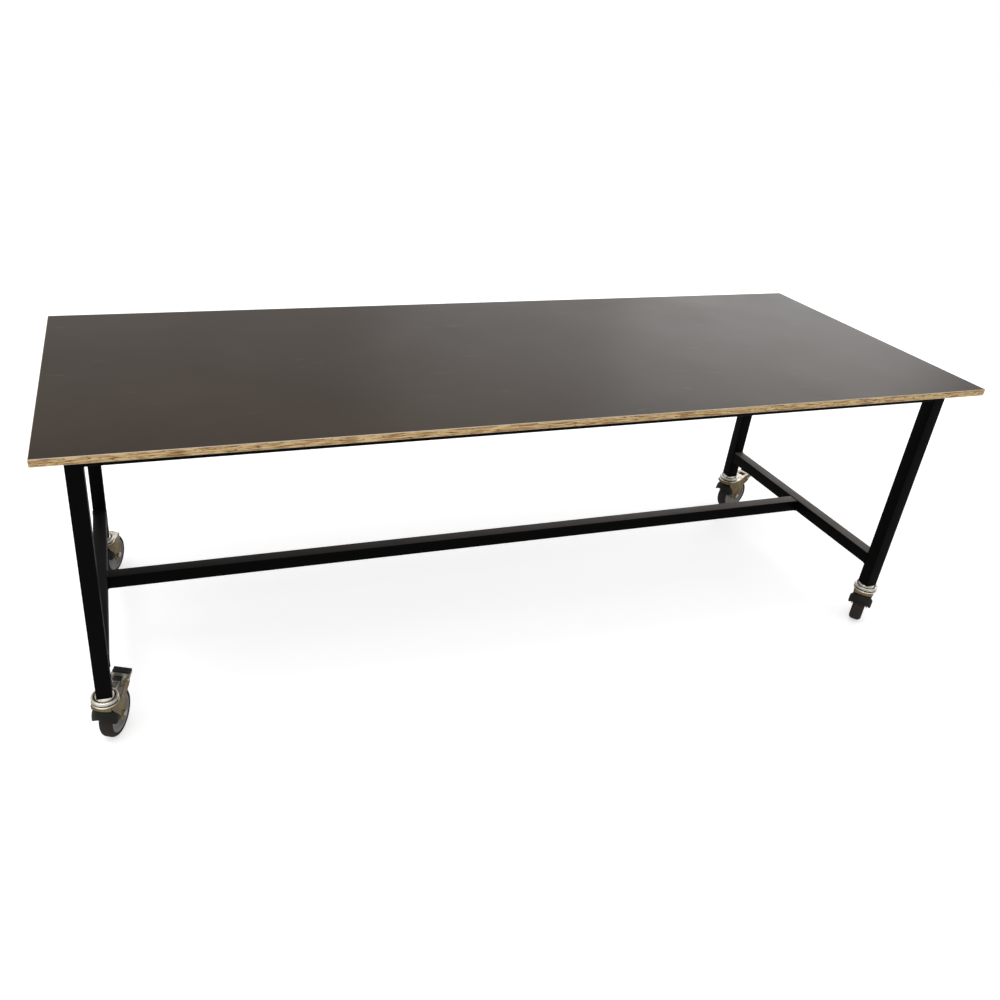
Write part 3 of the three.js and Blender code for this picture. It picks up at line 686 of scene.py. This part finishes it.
# Painted highlight: a pale line on the eased edge between film and veneer, where the edge catches
# the light
edge_highlight = grained_material("painted_edge_highlight", EDGE_HIGHLIGHT, 0.6, grain=300, depth=0.0003)
powder = powder_material()
zinc = zinc_material("zinc_plate", ZINC_DARK, ZINC_LIGHT, roughness=0.3)
# Painted reflection: the fork's side plates get a browner copy of the zinc than its crown, for the
# surroundings they mirror
plate_reflection = zinc_material("yellow_zinc_painted_reflection", PLATE_REFLECTION_DARK, PLATE_REFLECTION_LIGHT, roughness=0.4)
steel = steel_material()
plastic = grained_material("black_plastic", PLASTIC_BLACK, 0.5, grain=1500, depth=0.0002)
# Painted light: the pad's black plastic is lighter than the guard's, for the light falling on its
# top
lit_pad_plastic = grained_material("pad_plastic", PAD_BLACK_LIT, 0.5, grain=1500, depth=0.0002)
core_grey = grained_material("grey_core", CORE_GREY, 0.5, grain=1200, depth=0.0001)
rubber = grained_material("dark_rubber", RUBBER_DARK, 0.7, grain=800, depth=0.0003)


def plywood_top():
    """The top: film on both faces, veneers round the edge, and a painted highlight along the eased
    edge between them.
    """
    size = top_high - top_low
    middle = (top_high + top_low) / 2
    outline = rounded_rectangle(size.x, size.y, PLY_CORNER, PLY_CORNER_STEPS)
    rings = [[(x + middle.x, y + middle.y, z) for x, y in outline] for z in (top_low.z, top_high.z)]
    obj = make("film_faced_top", loft(rings, closed=False), [film, veneer, edge_highlight], "frame",
               ["plywood_top"], ease=PLY_EASE)
    for polygon in obj.data.polygons:
        facing = abs(polygon.normal.z)
        # Bevel faces between film and veneer take the painted edge highlight
        polygon.material_index = 0 if facing > FILM_FACING else 1 if facing < VENEER_FACING else 2
        polygon.use_smooth = False


# Frame: tubes, weld beads where they meet, screws that hold the top


def tube_part(length):
    """Square tube along Z, open at both ends."""
    bore = TUBE - 2 * TUBE_WALL
    outer = rounded_rectangle(TUBE, TUBE, TUBE_CORNER, TUBE_CORNER_STEPS)
    inner = rounded_rectangle(bore, bore, TUBE_CORNER - TUBE_WALL, TUBE_CORNER_STEPS)
    half = length / 2
    rings = []
    for wall, hollow in zip(outer, inner):
        rings.append([(*wall, -half), (*wall, half), (*hollow, half), (*hollow, -half)])
    return loft(rings, closed=True)


def along(part, axis, middle):
    """Turns a part made along Z to lie along the given axis, and puts it in place."""
    points, faces = part
    if axis == "x":
        points = [Vector((p.z, p.y, -p.x)) for p in points]
    if axis == "y":
        points = [Vector((p.x, p.z, -p.y)) for p in points]
    return [p + middle for p in points], faces


def weld_bead(axis, middle):
    """A rippled bead round the end of a square tube, where it meets the face of another."""
    path = []
    outline = rounded_rectangle(TUBE, TUBE, TUBE_CORNER, WELD_CORNER_STEPS)
    for k, (x, y) in enumerate(outline):
        nx, ny = outline[(k + 1) % len(outline)]
        reach = math.hypot(nx - x, ny - y)
        steps = max(1, round(2 * reach / WELD_PITCH))
        path += [(mix(x, nx, i / steps), mix(y, ny, i / steps)) for i in range(steps)]
    rings = []
    for k, (x, y) in enumerate(path):
        px, py = path[k - 1]
        nx, ny = path[(k + 1) % len(path)]
        out = Vector((ny - py, px - nx, 0)).normalized()
        radius = WELD_RADIUS + WELD_RIPPLE * (1 if k % 2 else -1)
        ring = []
        for step in range(WELD_STEPS):
            angle = 2 * math.pi * step / WELD_STEPS
            lean = out * (radius * math.cos(angle))
            ring.append(Vector((x, y, radius * math.sin(angle))) + lean)
        rings.append(ring)
    return along(loft(rings, closed=True), axis, middle)


def frame_tubes():
    members = {f"leg_{place}": "z" for place in PLACES}
    members |= {"top_rail_front": "x", "top_rail_rear": "x", "long_stretcher": "x"}
    members |= {"top_rail_left": "y", "top_rail_right": "y", "top_rail_cross": "y"}
    members |= {"end_stretcher_left": "y", "end_stretcher_right": "y"}
    beads = []
    for name, axis in members.items():
        low, high = (Vector(corner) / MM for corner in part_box(name))
        middle = (low + high) / 2
        length = (high - low)["xyz".index(axis)]
        make(f"{name}_tube", along(tube_part(length), axis, middle), powder, "frame", [name])
        if axis == "z":
            continue
        for end in (low, high):
            spot = middle.copy()
            spot["xyz".index(axis)] = end["xyz".index(axis)]
            beads.append(weld_bead(axis, spot))
    make("weld_beads", merge(*beads), powder, "frame")


def top_screws():
    """Hexagon screws driven up through the long rails into the plywood, seen from below."""
    washer = disc(WASHER_RADIUS, -WASHER_RISE, WASHER_SINK, BOLT_STEPS)
    cap = disc(SCREW_HEAD, -SCREW_RISE, 0, HEXAGON_STEPS)
    heads = []
    for rail in ("top_rail_front", "top_rail_rear"):
        low, high = (Vector(corner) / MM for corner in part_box(rail))
        count = int((high.x - low.x) // SCREW_SPACING)
        start = (low.x + high.x) / 2 - SCREW_SPACING * (count - 1) / 2
        for i in range(count):
            spot = (start + SCREW_SPACING * i, (low.y + high.y) / 2, low.z)
            heads += [moved(washer, spot), moved(cap, spot)]
    make("top_screws", merge(*heads), steel, "frame", ease=SCREW_EASE)


# Castor: fork


def fork_half_width(s, z):
    away = (s - FLARE_CENTRE) / FLARE_REACH
    behind = (s - WAIST_CENTRE) / WAIST_REACH
    boss_top = WHEEL_RADIUS + AXLE_BOSS
    rise = max(0.0, (z - boss_top) / (CROWN_Z - boss_top))
    swell = FORK_FLARE * math.exp(-away * away) - FORK_WAIST * math.exp(-behind * behind)
    return FORK_HALF + swell * rise


def fork_top_z(s, braked):
    climb = max(0.0, s - TAIL_START) * TAIL_SLOPE if braked else 0.0
    return CROWN_Z + SHEET + climb


def plate_rows(braked):
    """Height, front edge and rear edge of the side plate, from the axle boss to the crown."""
    rows = []
    for degrees in BOSS_ANGLES:
        turn = math.radians(degrees)
        half = PLATE_HALF * math.sin(turn)
        rows.append((WHEEL_RADIUS - AXLE_BOSS * math.cos(turn), TRAIL - half, TRAIL + half))
    for i in range(1, PLATE_STEPS + 1):
        t = i / PLATE_STEPS
        level = mix(WHEEL_RADIUS, CROWN_Z + SHEET, t)
        front = mix(TRAIL - PLATE_HALF, -FRONT_REACH, t)
        rear = mix(TRAIL + PLATE_HALF, REAR_REACH, t)
        if braked:
            rear = mix(rear, TAIL_REACH, smooth(*TAIL_BLEND, t))
        rows.append((level, front, rear))
    return rows


def fork_plate(side, braked):
    rows = plate_rows(braked)
    grid = []
    for j, (level, front, rear) in enumerate(rows):
        row = []
        for s in spread(front, rear, PLATE_STEPS):
            z = fork_top_z(s, braked) if j == len(rows) - 1 else level
            row.append((s, side * fork_half_width(s, z), z))
        grid.append(row)
    return sheet(grid, (0, -side * SHEET, 0))


def fork_top_strip(start, end, braked, inner=None):
    """Upper sheet between two places along the fork, over its whole width or beside the window."""
    sides = [(-1, 1)] if inner is None else [(-1, -inner), (inner, 1)]
    strips = []
    for left, right in sides:
        grid = []
        for s in spread(start, end, STRIP_ROWS):
            z = fork_top_z(s, braked)
            half = fork_half_width(s, z) - SHEET / 2
            edges = [half * e if abs(e) == 1 else e for e in (left, right)]
            grid.append([(s, y, z) for y in spread(*edges, ACROSS_STEPS)])
        strips.append(sheet(grid, (0, 0, -SHEET)))
    return merge(*strips)


def fork_apron(front):
    reach = -FRONT_REACH if front else REAR_REACH - SHEET
    bulge = -APRON_BULGE if front else APRON_BULGE
    top = CROWN_Z + SHEET
    low = top - (APRON_DEPTH if front else REAR_APRON_DEPTH)
    half = fork_half_width(reach, CROWN_Z) - SHEET / 2
    grid = []
    for z in (low, top):
        row = []
        for across in spread(-1, 1, PLATE_STEPS):
            row.append((reach + bulge * (1 - across * across), across * half, z))
        grid.append(row)
    return sheet(grid, (SHEET if front else -SHEET, 0, 0))


def fork_crown():
    """Ring of the crown: ball race, wall, and the rim rolled outwards on the upper sheet."""
    foot = [(KING_BORE, CROWN_Z), (CROWN_FOOT, CROWN_Z), (CROWN_FOOT, CROWN_Z + CROWN_FOOT_RISE)]
    roll = arc(CROWN_ROLL_REACH, CROWN_Z + CROWN_ROLL_RISE, CROWN_ROLL, *CROWN_ROLL_ANGLES,
               CROWN_ROLL_STEPS)
    wall = [(CROWN_WALL, CROWN_TOP_Z - 2 * CROWN_EASE), (CROWN_WALL, CROWN_TOP_Z - CROWN_EASE),
            (CROWN_WALL - CROWN_EASE, CROWN_TOP_Z)]
    race = [(RACE_RADIUS + RACE_DRAFT, CROWN_TOP_Z), (RACE_RADIUS, RACE_Z), (KING_BORE, RACE_Z)]
    return turned([*foot, *roll, *wall, *race])


def fork_rib(y, braked):
    """A rib pressed up out of the upper sheet behind the crown."""
    end = RELEASE_FRONT - WINDOW_GAP - RIB_RADIUS if braked else REAR_REACH - SHEET
    arch = arc(0, 0, RIB_RADIUS, 0, 180, RIB_STEPS)
    grid = []
    for j, s in enumerate(spread(HEAD_RADIUS, end, RIB_ROWS)):
        swell = RIB_END
        if 0 < j < RIB_ROWS:
            swell = mix(RIB_BASE, 1, math.sin(math.pi * (j / RIB_ROWS) ** RIB_LEAN))
        z = fork_top_z(s, braked)
        grid.append([(s, y + across * math.sqrt(swell), z + up * swell) for across, up in arch])
    return sheet(grid, (0, 0, -SHEET / 2))


def fork_part(braked):
    """Crown, upper sheet and ribs, then the side plates and aprons, which take a browner tone:
    partly yellow zinc, partly a painted reflection of the surroundings, though the fork is one
    finish.
    """
    plates = [fork_plate(1, braked), fork_plate(-1, braked), fork_apron(True)]
    upper = [fork_crown(), *(fork_rib(y, braked) for y in (RIB_SPACING / 2, -RIB_SPACING / 2))]
    front = SHEET_LAP - FRONT_REACH
    if braked:
        window = (RELEASE_FRONT - WINDOW_GAP, RELEASE_BACK + WINDOW_GAP)
        upper.append(fork_top_strip(front, window[0], braked))
        upper.append(fork_top_strip(*window, braked, inner=RELEASE_HALF + WINDOW_GAP))
        upper.append(fork_top_strip(window[1], TAIL_REACH - SHEET_LAP, braked))
    else:
        upper.append(fork_top_strip(front, REAR_REACH - SHEET_LAP, braked))
        plates.append(fork_apron(False))
    return [merge(*upper), merge(*plates)]


# Castor: head, wheel, guard and axle


def head_part():
    """Swivel head: raised seat, groove and rolled ring."""
    cup_z = LIP_Z + HEAD_CUP_RISE
    top = SEAT_Z - FIT_GAP
    cup = [(KING_BORE, cup_z), (HEAD_CUP, cup_z), (HEAD_CUP, LIP_Z)]
    lip = [(HEAD_RADIUS - HEAD_EASE, LIP_Z), (HEAD_RADIUS, LIP_Z + HEAD_EASE)]
    roll = arc(HEAD_RADIUS - HEAD_ROLL, LIP_Z + HEAD_ROLL_RISE, HEAD_ROLL, 0, 180,
               HEAD_ROLL_STEPS)
    seat = [(SEAT_WALL, top - HEAD_EASE), (SEAT_RADIUS, top), (KING_BORE, top)]
    return turned([*cup, *lip, *roll, *HEAD_GROOVE, *seat])


def tread_part():
    half = TREAD_WIDTH / 2
    shoulder = arc(WHEEL_RADIUS - TREAD_SHOULDER, half - TREAD_SHOULDER, TREAD_SHOULDER,
                   SHOULDER_ANGLE, 0, SHOULDER_STEPS)
    profile = mirrored([(WHEEL_RADIUS - TREAD_DEPTH, half - TREAD_EDGE), *shoulder])
    return on_axle(turned(profile, TREAD_STEPS))


def core_part():
    """Wheel core: rim, dished web with a step, and hub."""
    outer = WHEEL_RADIUS - TREAD_DEPTH - FIT_GAP
    hub = FORK_HALF - SHEET - RUN_GAP
    rim = RIM_WIDTH / 2
    half = [(AXLE_RADIUS + RUN_GAP, hub), (HUB_RADIUS - CORE_EASE, hub)]
    half += [(HUB_RADIUS, hub - CORE_EASE), *WEB_DISH]
    half += [(RIM_INNER - CORE_EASE, rim - CORE_EASE), (RIM_INNER, rim)]
    half += [(outer - CORE_EASE, rim), (outer, rim - CORE_EASE)]
    return on_axle(turned(mirrored(half)))


def fork_front_edge(z):
    """Front edge of the side plates at a height, with some play before it."""
    t = (z - WHEEL_RADIUS) / (CROWN_Z + SHEET - WHEEL_RADIUS)
    return mix(TRAIL - PLATE_HALF, -FRONT_REACH, t) - RUN_GAP


def guard_section(across):
    """Side outline of the guard at a place across it: the dome, the lip and the inner foot."""
    fullness = math.sqrt(max(0.0, 1 - across * across))
    top = mix(GUARD_SIDE_Z, GUARD_TOP_Z, fullness)
    lip = GUARD_LIP_Z - GUARD_LIP_FALL * across * across
    lip += GUARD_TIP_RISE * (1 - fullness) ** GUARD_TIP_CURVE
    nose = -mix(GUARD_SIDE_NOSE, GUARD_NOSE, fullness)
    root = fork_front_edge(top)
    outline = []
    for turn in spread(0, math.pi / 2, DOME_STEPS):
        outline.append((mix(root, nose, math.sin(turn)), mix(lip, top, math.cos(turn))))
    clear = WHEEL_RADIUS + GUARD_GAP
    before_wheel = TRAIL - math.sqrt(clear * clear - (lip - WHEEL_RADIUS) ** 2)
    before_fork = fork_front_edge(lip)
    beside = smooth(*GUARD_BESIDE, abs(across) * GUARD_HALF)
    outline.append((mix(min(before_wheel, before_fork), before_fork, beside), lip))
    return outline


def guard_part():
    """Front guard: a drooping hood before the fork's plates and a tongue between them."""
    sections = []
    for turn in spread(-math.pi / 2, math.pi / 2, GUARD_STEPS):
        across = math.sin(turn)
        sections.append([(s, across * GUARD_HALF, z) for s, z in guard_section(across)])
    radius = WHEEL_RADIUS + GUARD_GAP + GUARD_WALL - RUN_GAP
    path = arc(TRAIL, WHEEL_RADIUS, radius, 180 - TONGUE_LOW_ANGLE, 180 - TONGUE_HIGH_ANGLE,
               TONGUE_STEPS)
    tongue = []
    for (s, z), half in zip(path, spread(TONGUE_HALF, TONGUE_TOP_HALF, TONGUE_STEPS)):
        tongue.append([(s, y, z) for y in spread(-half, half, ACROSS_STEPS)])
    return merge(loft(sections, closed=False), thick_shell(tongue, GUARD_WALL - RUN_GAP))


def axle_hexagon(side):
    """The bolt's head or the nut, against the fork on one side."""
    outline = arc(TRAIL, WHEEL_RADIUS, AXLE_HEAD_RADIUS, 0, 360 - 360 / HEXAGON_STEPS,
                  HEXAGON_STEPS - 1)
    middle = AXLE_FACE + AXLE_HEAD_HEIGHT / 2
    return moved(slab(outline, AXLE_HEAD_HEIGHT / 2), (0, side * middle, 0))


def axle_part():
    start = -AXLE_FACE - AXLE_SINK
    end = AXLE_FACE + AXLE_HEAD_HEIGHT + AXLE_STUB
    shank = [(NEAR_AXIS, start), (AXLE_RADIUS, start), (AXLE_RADIUS, end - AXLE_CHAMFER),
             (AXLE_RADIUS - AXLE_CHAMFER, end), (NEAR_AXIS, end)]
    return merge(on_axle(turned(shank, BOLT_STEPS)), axle_hexagon(-1))


# Castor: brake


def lever_top_z(s):
    """Height of the lever's roof: up from the release end, over the pin, to the pressed end."""
    if s < PIVOT_REACH:
        t = (s - RELEASE_FRONT) / (PIVOT_REACH - RELEASE_FRONT)
        return PIVOT_Z + mix(LEVER_RISE - LEVER_DIP, LEVER_RISE, t)
    if s < LEVER_BACK:
        t = (s - PIVOT_REACH) / (LEVER_BACK - PIVOT_REACH)
        return PIVOT_Z + mix(LEVER_RISE, LEVER_BACK_RISE, t)
    t = (s - LEVER_BACK) / (LEVER_REACH - LEVER_BACK)
    return PIVOT_Z + mix(LEVER_BACK_RISE, LEVER_END_RISE, t)


def released(s, z):
    """Turns a place laid out on the pressed lever back to where the released lever has it."""
    turn = math.radians(BRAKE_TRAVEL)
    along_lever = s - PIVOT_REACH
    up = z - PIVOT_Z
    return (PIVOT_REACH + along_lever * math.cos(turn) - up * math.sin(turn),
            PIVOT_Z + along_lever * math.sin(turn) + up * math.cos(turn))


def lever_part():
    """Zinc lever: cheeks inside the tail, a roof, a broad end, and the shoe behind the tread."""
    heel = (LEVER_BACK + CHEEK_HEEL, PIVOT_Z - CHEEK_HEEL)
    end = [(LEVER_REACH, PIVOT_Z + LEVER_END_RISE - LEVER_END_DEPTH),
           (LEVER_REACH, lever_top_z(LEVER_REACH)), (LEVER_BACK, lever_top_z(LEVER_BACK))]
    under = [(RELEASE_FRONT, PIVOT_Z - CHEEK_FRONT_DEPTH), (PIVOT_REACH, PIVOT_Z - CHEEK_DEPTH)]
    over = [(s, lever_top_z(s)) for s in (PIVOT_REACH, RELEASE_FRONT)]
    cheeks = on_sides([*under, heel, *end, *over], SHEET, LEVER_HALF - SHEET / 2)
    tip = [(LEVER_BACK, PIVOT_Z - TIP_DEPTH), heel, *end]
    tips = on_sides(tip, PAD_HALF - LEVER_HALF + TIP_OVERLAP,
                    (PAD_HALF + LEVER_HALF - TIP_OVERLAP) / 2)
    inset = LEVER_HALF - ROOF_INSET
    roof = []
    for s in spread(RELEASE_FRONT, LEVER_REACH, ROOF_STEPS):
        roof.append([(s, y, lever_top_z(s)) for y in spread(-inset, inset, ACROSS_STEPS)])
    face = WHEEL_RADIUS + SHOE_GAP
    inner = arc(TRAIL, WHEEL_RADIUS, face, SHOE_LOW_ANGLE, SHOE_HIGH_ANGLE, SHOE_STEPS)
    root = [(PIVOT_REACH - SHOE_ROOT, PIVOT_Z), (PIVOT_REACH + SHOE_ROOT, PIVOT_Z)]
    outer = arc(TRAIL, WHEEL_RADIUS, face + SHOE_THICKNESS, SHOE_HIGH_ANGLE, SHOE_LOW_ANGLE,
                SHOE_STEPS)
    shoe = slab([released(s, z) for s, z in (*inner, *root, *outer)], LEVER_HALF - 2 * SHEET)
    return merge(*cheeks, *tips, sheet(roof, (0, 0, -SHEET)), shoe)


def pad_base(s):
    return lever_top_z(s) + FIT_GAP


def pad_block(start, end, edge, half, grooves=()):
    """A thick piece of the pad, with its upper edges cut off and grooves in its top."""
    low = pad_base(start)
    high = pad_base(end)
    outline = [(start, low), (end, high), (end, high + PAD_HEIGHT - edge),
               (end - edge, high + PAD_HEIGHT), *grooves,
               (start + edge, low + PAD_HEIGHT), (start, low + PAD_HEIGHT - edge)]
    return slab(outline, half)


def pad_part():
    """Black rocker pad, one moulding, with grip grooves across its outer half."""
    start = LEVER_REACH - PAD_LENGTH
    pitch = (PAD_LENGTH - 2 * PAD_MARGIN) / PAD_GROOVES
    grooves = []
    for k in range(PAD_GROOVES):
        s = LEVER_REACH - PAD_MARGIN - pitch * (k + 0.5)
        height = pad_base(s) + PAD_HEIGHT
        bottom = height - GROOVE_DEPTH
        grooves += [(s + GROOVE_HALF, height), (s + GROOVE_FLOOR, bottom)]
        grooves += [(s - GROOVE_FLOOR, bottom), (s - GROOVE_HALF, height)]
    press = pad_block(start, LEVER_REACH, PAD_EDGE, PAD_HALF, grooves)
    release = pad_block(RELEASE_FRONT, RELEASE_BACK, RELEASE_EDGE, RELEASE_HALF)
    near = (PIVOT_REACH - STRIP_LAP, pad_base(PIVOT_REACH))
    far = (start + PAD_EDGE, pad_base(start + PAD_EDGE))
    raised = [(s, z + STRIP_HEIGHT) for s, z in (far, near)]
    return merge(press, release, slab([near, far, *raised], STRIP_HALF))


def pin_part():
    half = fork_half_width(PIVOT_REACH, PIVOT_Z) + PIN_STUB
    end = [(NEAR_AXIS, half), (PIN_RADIUS + PIN_LIP, half)]
    end += [(PIN_RADIUS + PIN_LIP_FOOT, half - PIN_LIP), (PIN_RADIUS, half - PIN_LIP_FOOT)]
    return on_axle(turned(mirrored(end), BOLT_STEPS), PIVOT_REACH, PIVOT_Z)


# Castor: its pieces put in place


def joint(name):
    return next(j for j in frame["joints"] if j["name"] == name)


def castor_matrix(place):
    """From the castor's own millimetres to the frame, by its joints."""
    swivel = Vector(joint(f"{place}_swivel")["pos_m"])
    axle = joint(f"{place}_spin")["axis"]
    heading = math.atan2(-axle[0], axle[1])
    spot = Matrix.Translation((swivel.x, swivel.y, 0))
    return spot @ Matrix.Rotation(heading, 4, "Z") @ Matrix.Scale(MM, 4)


def castor(place):
    matrix = castor_matrix(place)
    braked = f"{place}_pedal" in frame["bodies"]

    def add(piece, part, material, body, ease=0.0):
        cad = f"castor_{place}_{piece}"
        make(f"{cad}_shape", part, material, body, [cad], matrix, ease)

    # Black turned rings: a seal with painted shade, and painted shade in a groove
    def add_dark_ring(piece, profile, body):
        make(f"castor_{place}_{piece}", turned(profile), plastic, body, matrix=matrix)

    fork = f"{place}_fork"
    wheel = f"{place}_wheel"
    add("head", head_part(), zinc, "frame")
    add("fork", fork_part(braked), [zinc, plate_reflection], fork, FORK_EASE)
    # Swivel seal with painted shade in the swivel gap
    add_dark_ring("swivel_seal_and_shade", SWIVEL_SEAL_AND_SHADE, fork)
    # Painted shade: a black ring in the seat's groove
    add_dark_ring("seat_groove_shade", SEAT_GROOVE_SHADE, "frame")
    add("guard", guard_part(), plastic, fork, GUARD_EASE)
    add("axle_bolt", axle_part(), steel, fork, AXLE_EASE)
    add("axle_nut", axle_hexagon(1), steel, fork, AXLE_EASE)
    add("wheel_core", core_part(), core_grey, wheel)
    add("wheel_tread", tread_part(), rubber, wheel)
    if braked:
        pedal = f"{place}_pedal"
        add("brake_lever", lever_part(), zinc, pedal, LEVER_EASE)
        add("brake_pad", pad_part(), lit_pad_plastic, pedal, PAD_EASE)
        add("brake_pin", pin_part(), steel, fork)


plywood_top()
frame_tubes()
top_screws()
for corner in PLACES:
    castor(corner)

# Hidden CAD pieces keep their shape and take a finish
for place in PLACES:
    hidden = {f"castor_{place}_king_bolt": steel, f"castor_{place}_bearing": steel}
    hidden[f"leg_insert_{place}"] = powder
    for name, finish in hidden.items():
        materials = frame["nodes"][name].data.materials
        materials.clear()
        materials.append(finish)


# Studio


def floor():
    """White floor that is lifted for the camera only, so that it keeps the table's shadow."""
    mesh = bpy.data.meshes.new("studio_floor")
    sides = ((-1, -1), (1, -1), (1, 1), (-1, 1))
    mesh.from_pydata([(FLOOR_HALF * x, FLOOR_HALF * y, 0) for x, y in sides], [], [(0, 1, 2, 3)])
    material, tree, bsdf = shader("studio_floor", FLOOR_GREY, roughness=0.9, specular=0.0)
    path = node(tree, "ShaderNodeLightPath")
    lift = node(tree, "ShaderNodeMath", operation="MULTIPLY")
    lift.inputs[1].default_value = FLOOR_LIFT
    tree.links.new(path.outputs["Is Camera Ray"], lift.inputs[0])
    bsdf.inputs["Emission Color"].default_value = (*WHITE, 1)
    tree.links.new(lift.outputs["Value"], bsdf.inputs["Emission Strength"])
    mesh.materials.append(material)
    obj = bpy.data.objects.new("studio_floor", mesh)
    bpy.context.collection.objects.link(obj)


def world():
    """White sky, a little weaker as a light than where it is seen or mirrored."""
    made = bpy.data.worlds.new("studio")
    bpy.context.scene.world = made
    made.use_nodes = True
    tree = made.node_tree
    background = tree.nodes["Background"]
    background.inputs["Color"].default_value = (*WHITE, 1)
    path = node(tree, "ShaderNodeLightPath")
    seen = node(tree, "ShaderNodeMath", operation="MAXIMUM")
    tree.links.new(path.outputs["Is Camera Ray"], seen.inputs[0])
    tree.links.new(path.outputs["Is Glossy Ray"], seen.inputs[1])
    clear = node(tree, "ShaderNodeMath", operation="MAXIMUM")
    tree.links.new(seen.outputs["Value"], clear.inputs[0])
    tree.links.new(path.outputs["Is Transmission Ray"], clear.inputs[1])
    strength = node(tree, "ShaderNodeMapRange")
    strength.inputs["To Min"].default_value = SKY_LIGHT
    strength.inputs["To Max"].default_value = SKY_SEEN
    tree.links.new(clear.outputs["Value"], strength.inputs["Value"])
    tree.links.new(strength.outputs["Result"], background.inputs["Strength"])


def area_light(name, place, target, size, power):
    data = bpy.data.lights.new(name, "AREA")
    data.shape = "RECTANGLE"
    data.size = size[0]
    data.size_y = size[1]
    data.energy = power
    obj = bpy.data.objects.new(name, data)
    obj.location = place
    obj.rotation_euler = (Vector(target) - Vector(place)).to_track_quat("-Z", "Y").to_euler()
    bpy.context.collection.objects.link(obj)


def camera():
    data = bpy.data.cameras.new("photo_camera")
    data.sensor_width = SENSOR
    data.lens = CAMERA_FOCAL / PICTURE * SENSOR
    data.shift_x = 0.5 - CAMERA_CENTRE[0] / PICTURE
    data.shift_y = CAMERA_CENTRE[1] / PICTURE - 0.5
    data.clip_end = CAMERA_FAR
    obj = bpy.data.objects.new("photo_camera", data)
    forward = Vector(CAMERA_FORWARD).normalized()
    right = Vector(CAMERA_RIGHT).normalized()
    up = right.cross(forward)
    turn = Matrix((right, up, -forward)).transposed().to_4x4()
    obj.matrix_world = Matrix.Translation(CAMERA_PLACE) @ turn
    bpy.context.collection.objects.link(obj)
    bpy.context.scene.camera = obj


floor()
world()
for light, values in LIGHTS.items():
    area_light(light, *values)
camera()
bpy.context.scene.view_settings.view_transform = "Standard"
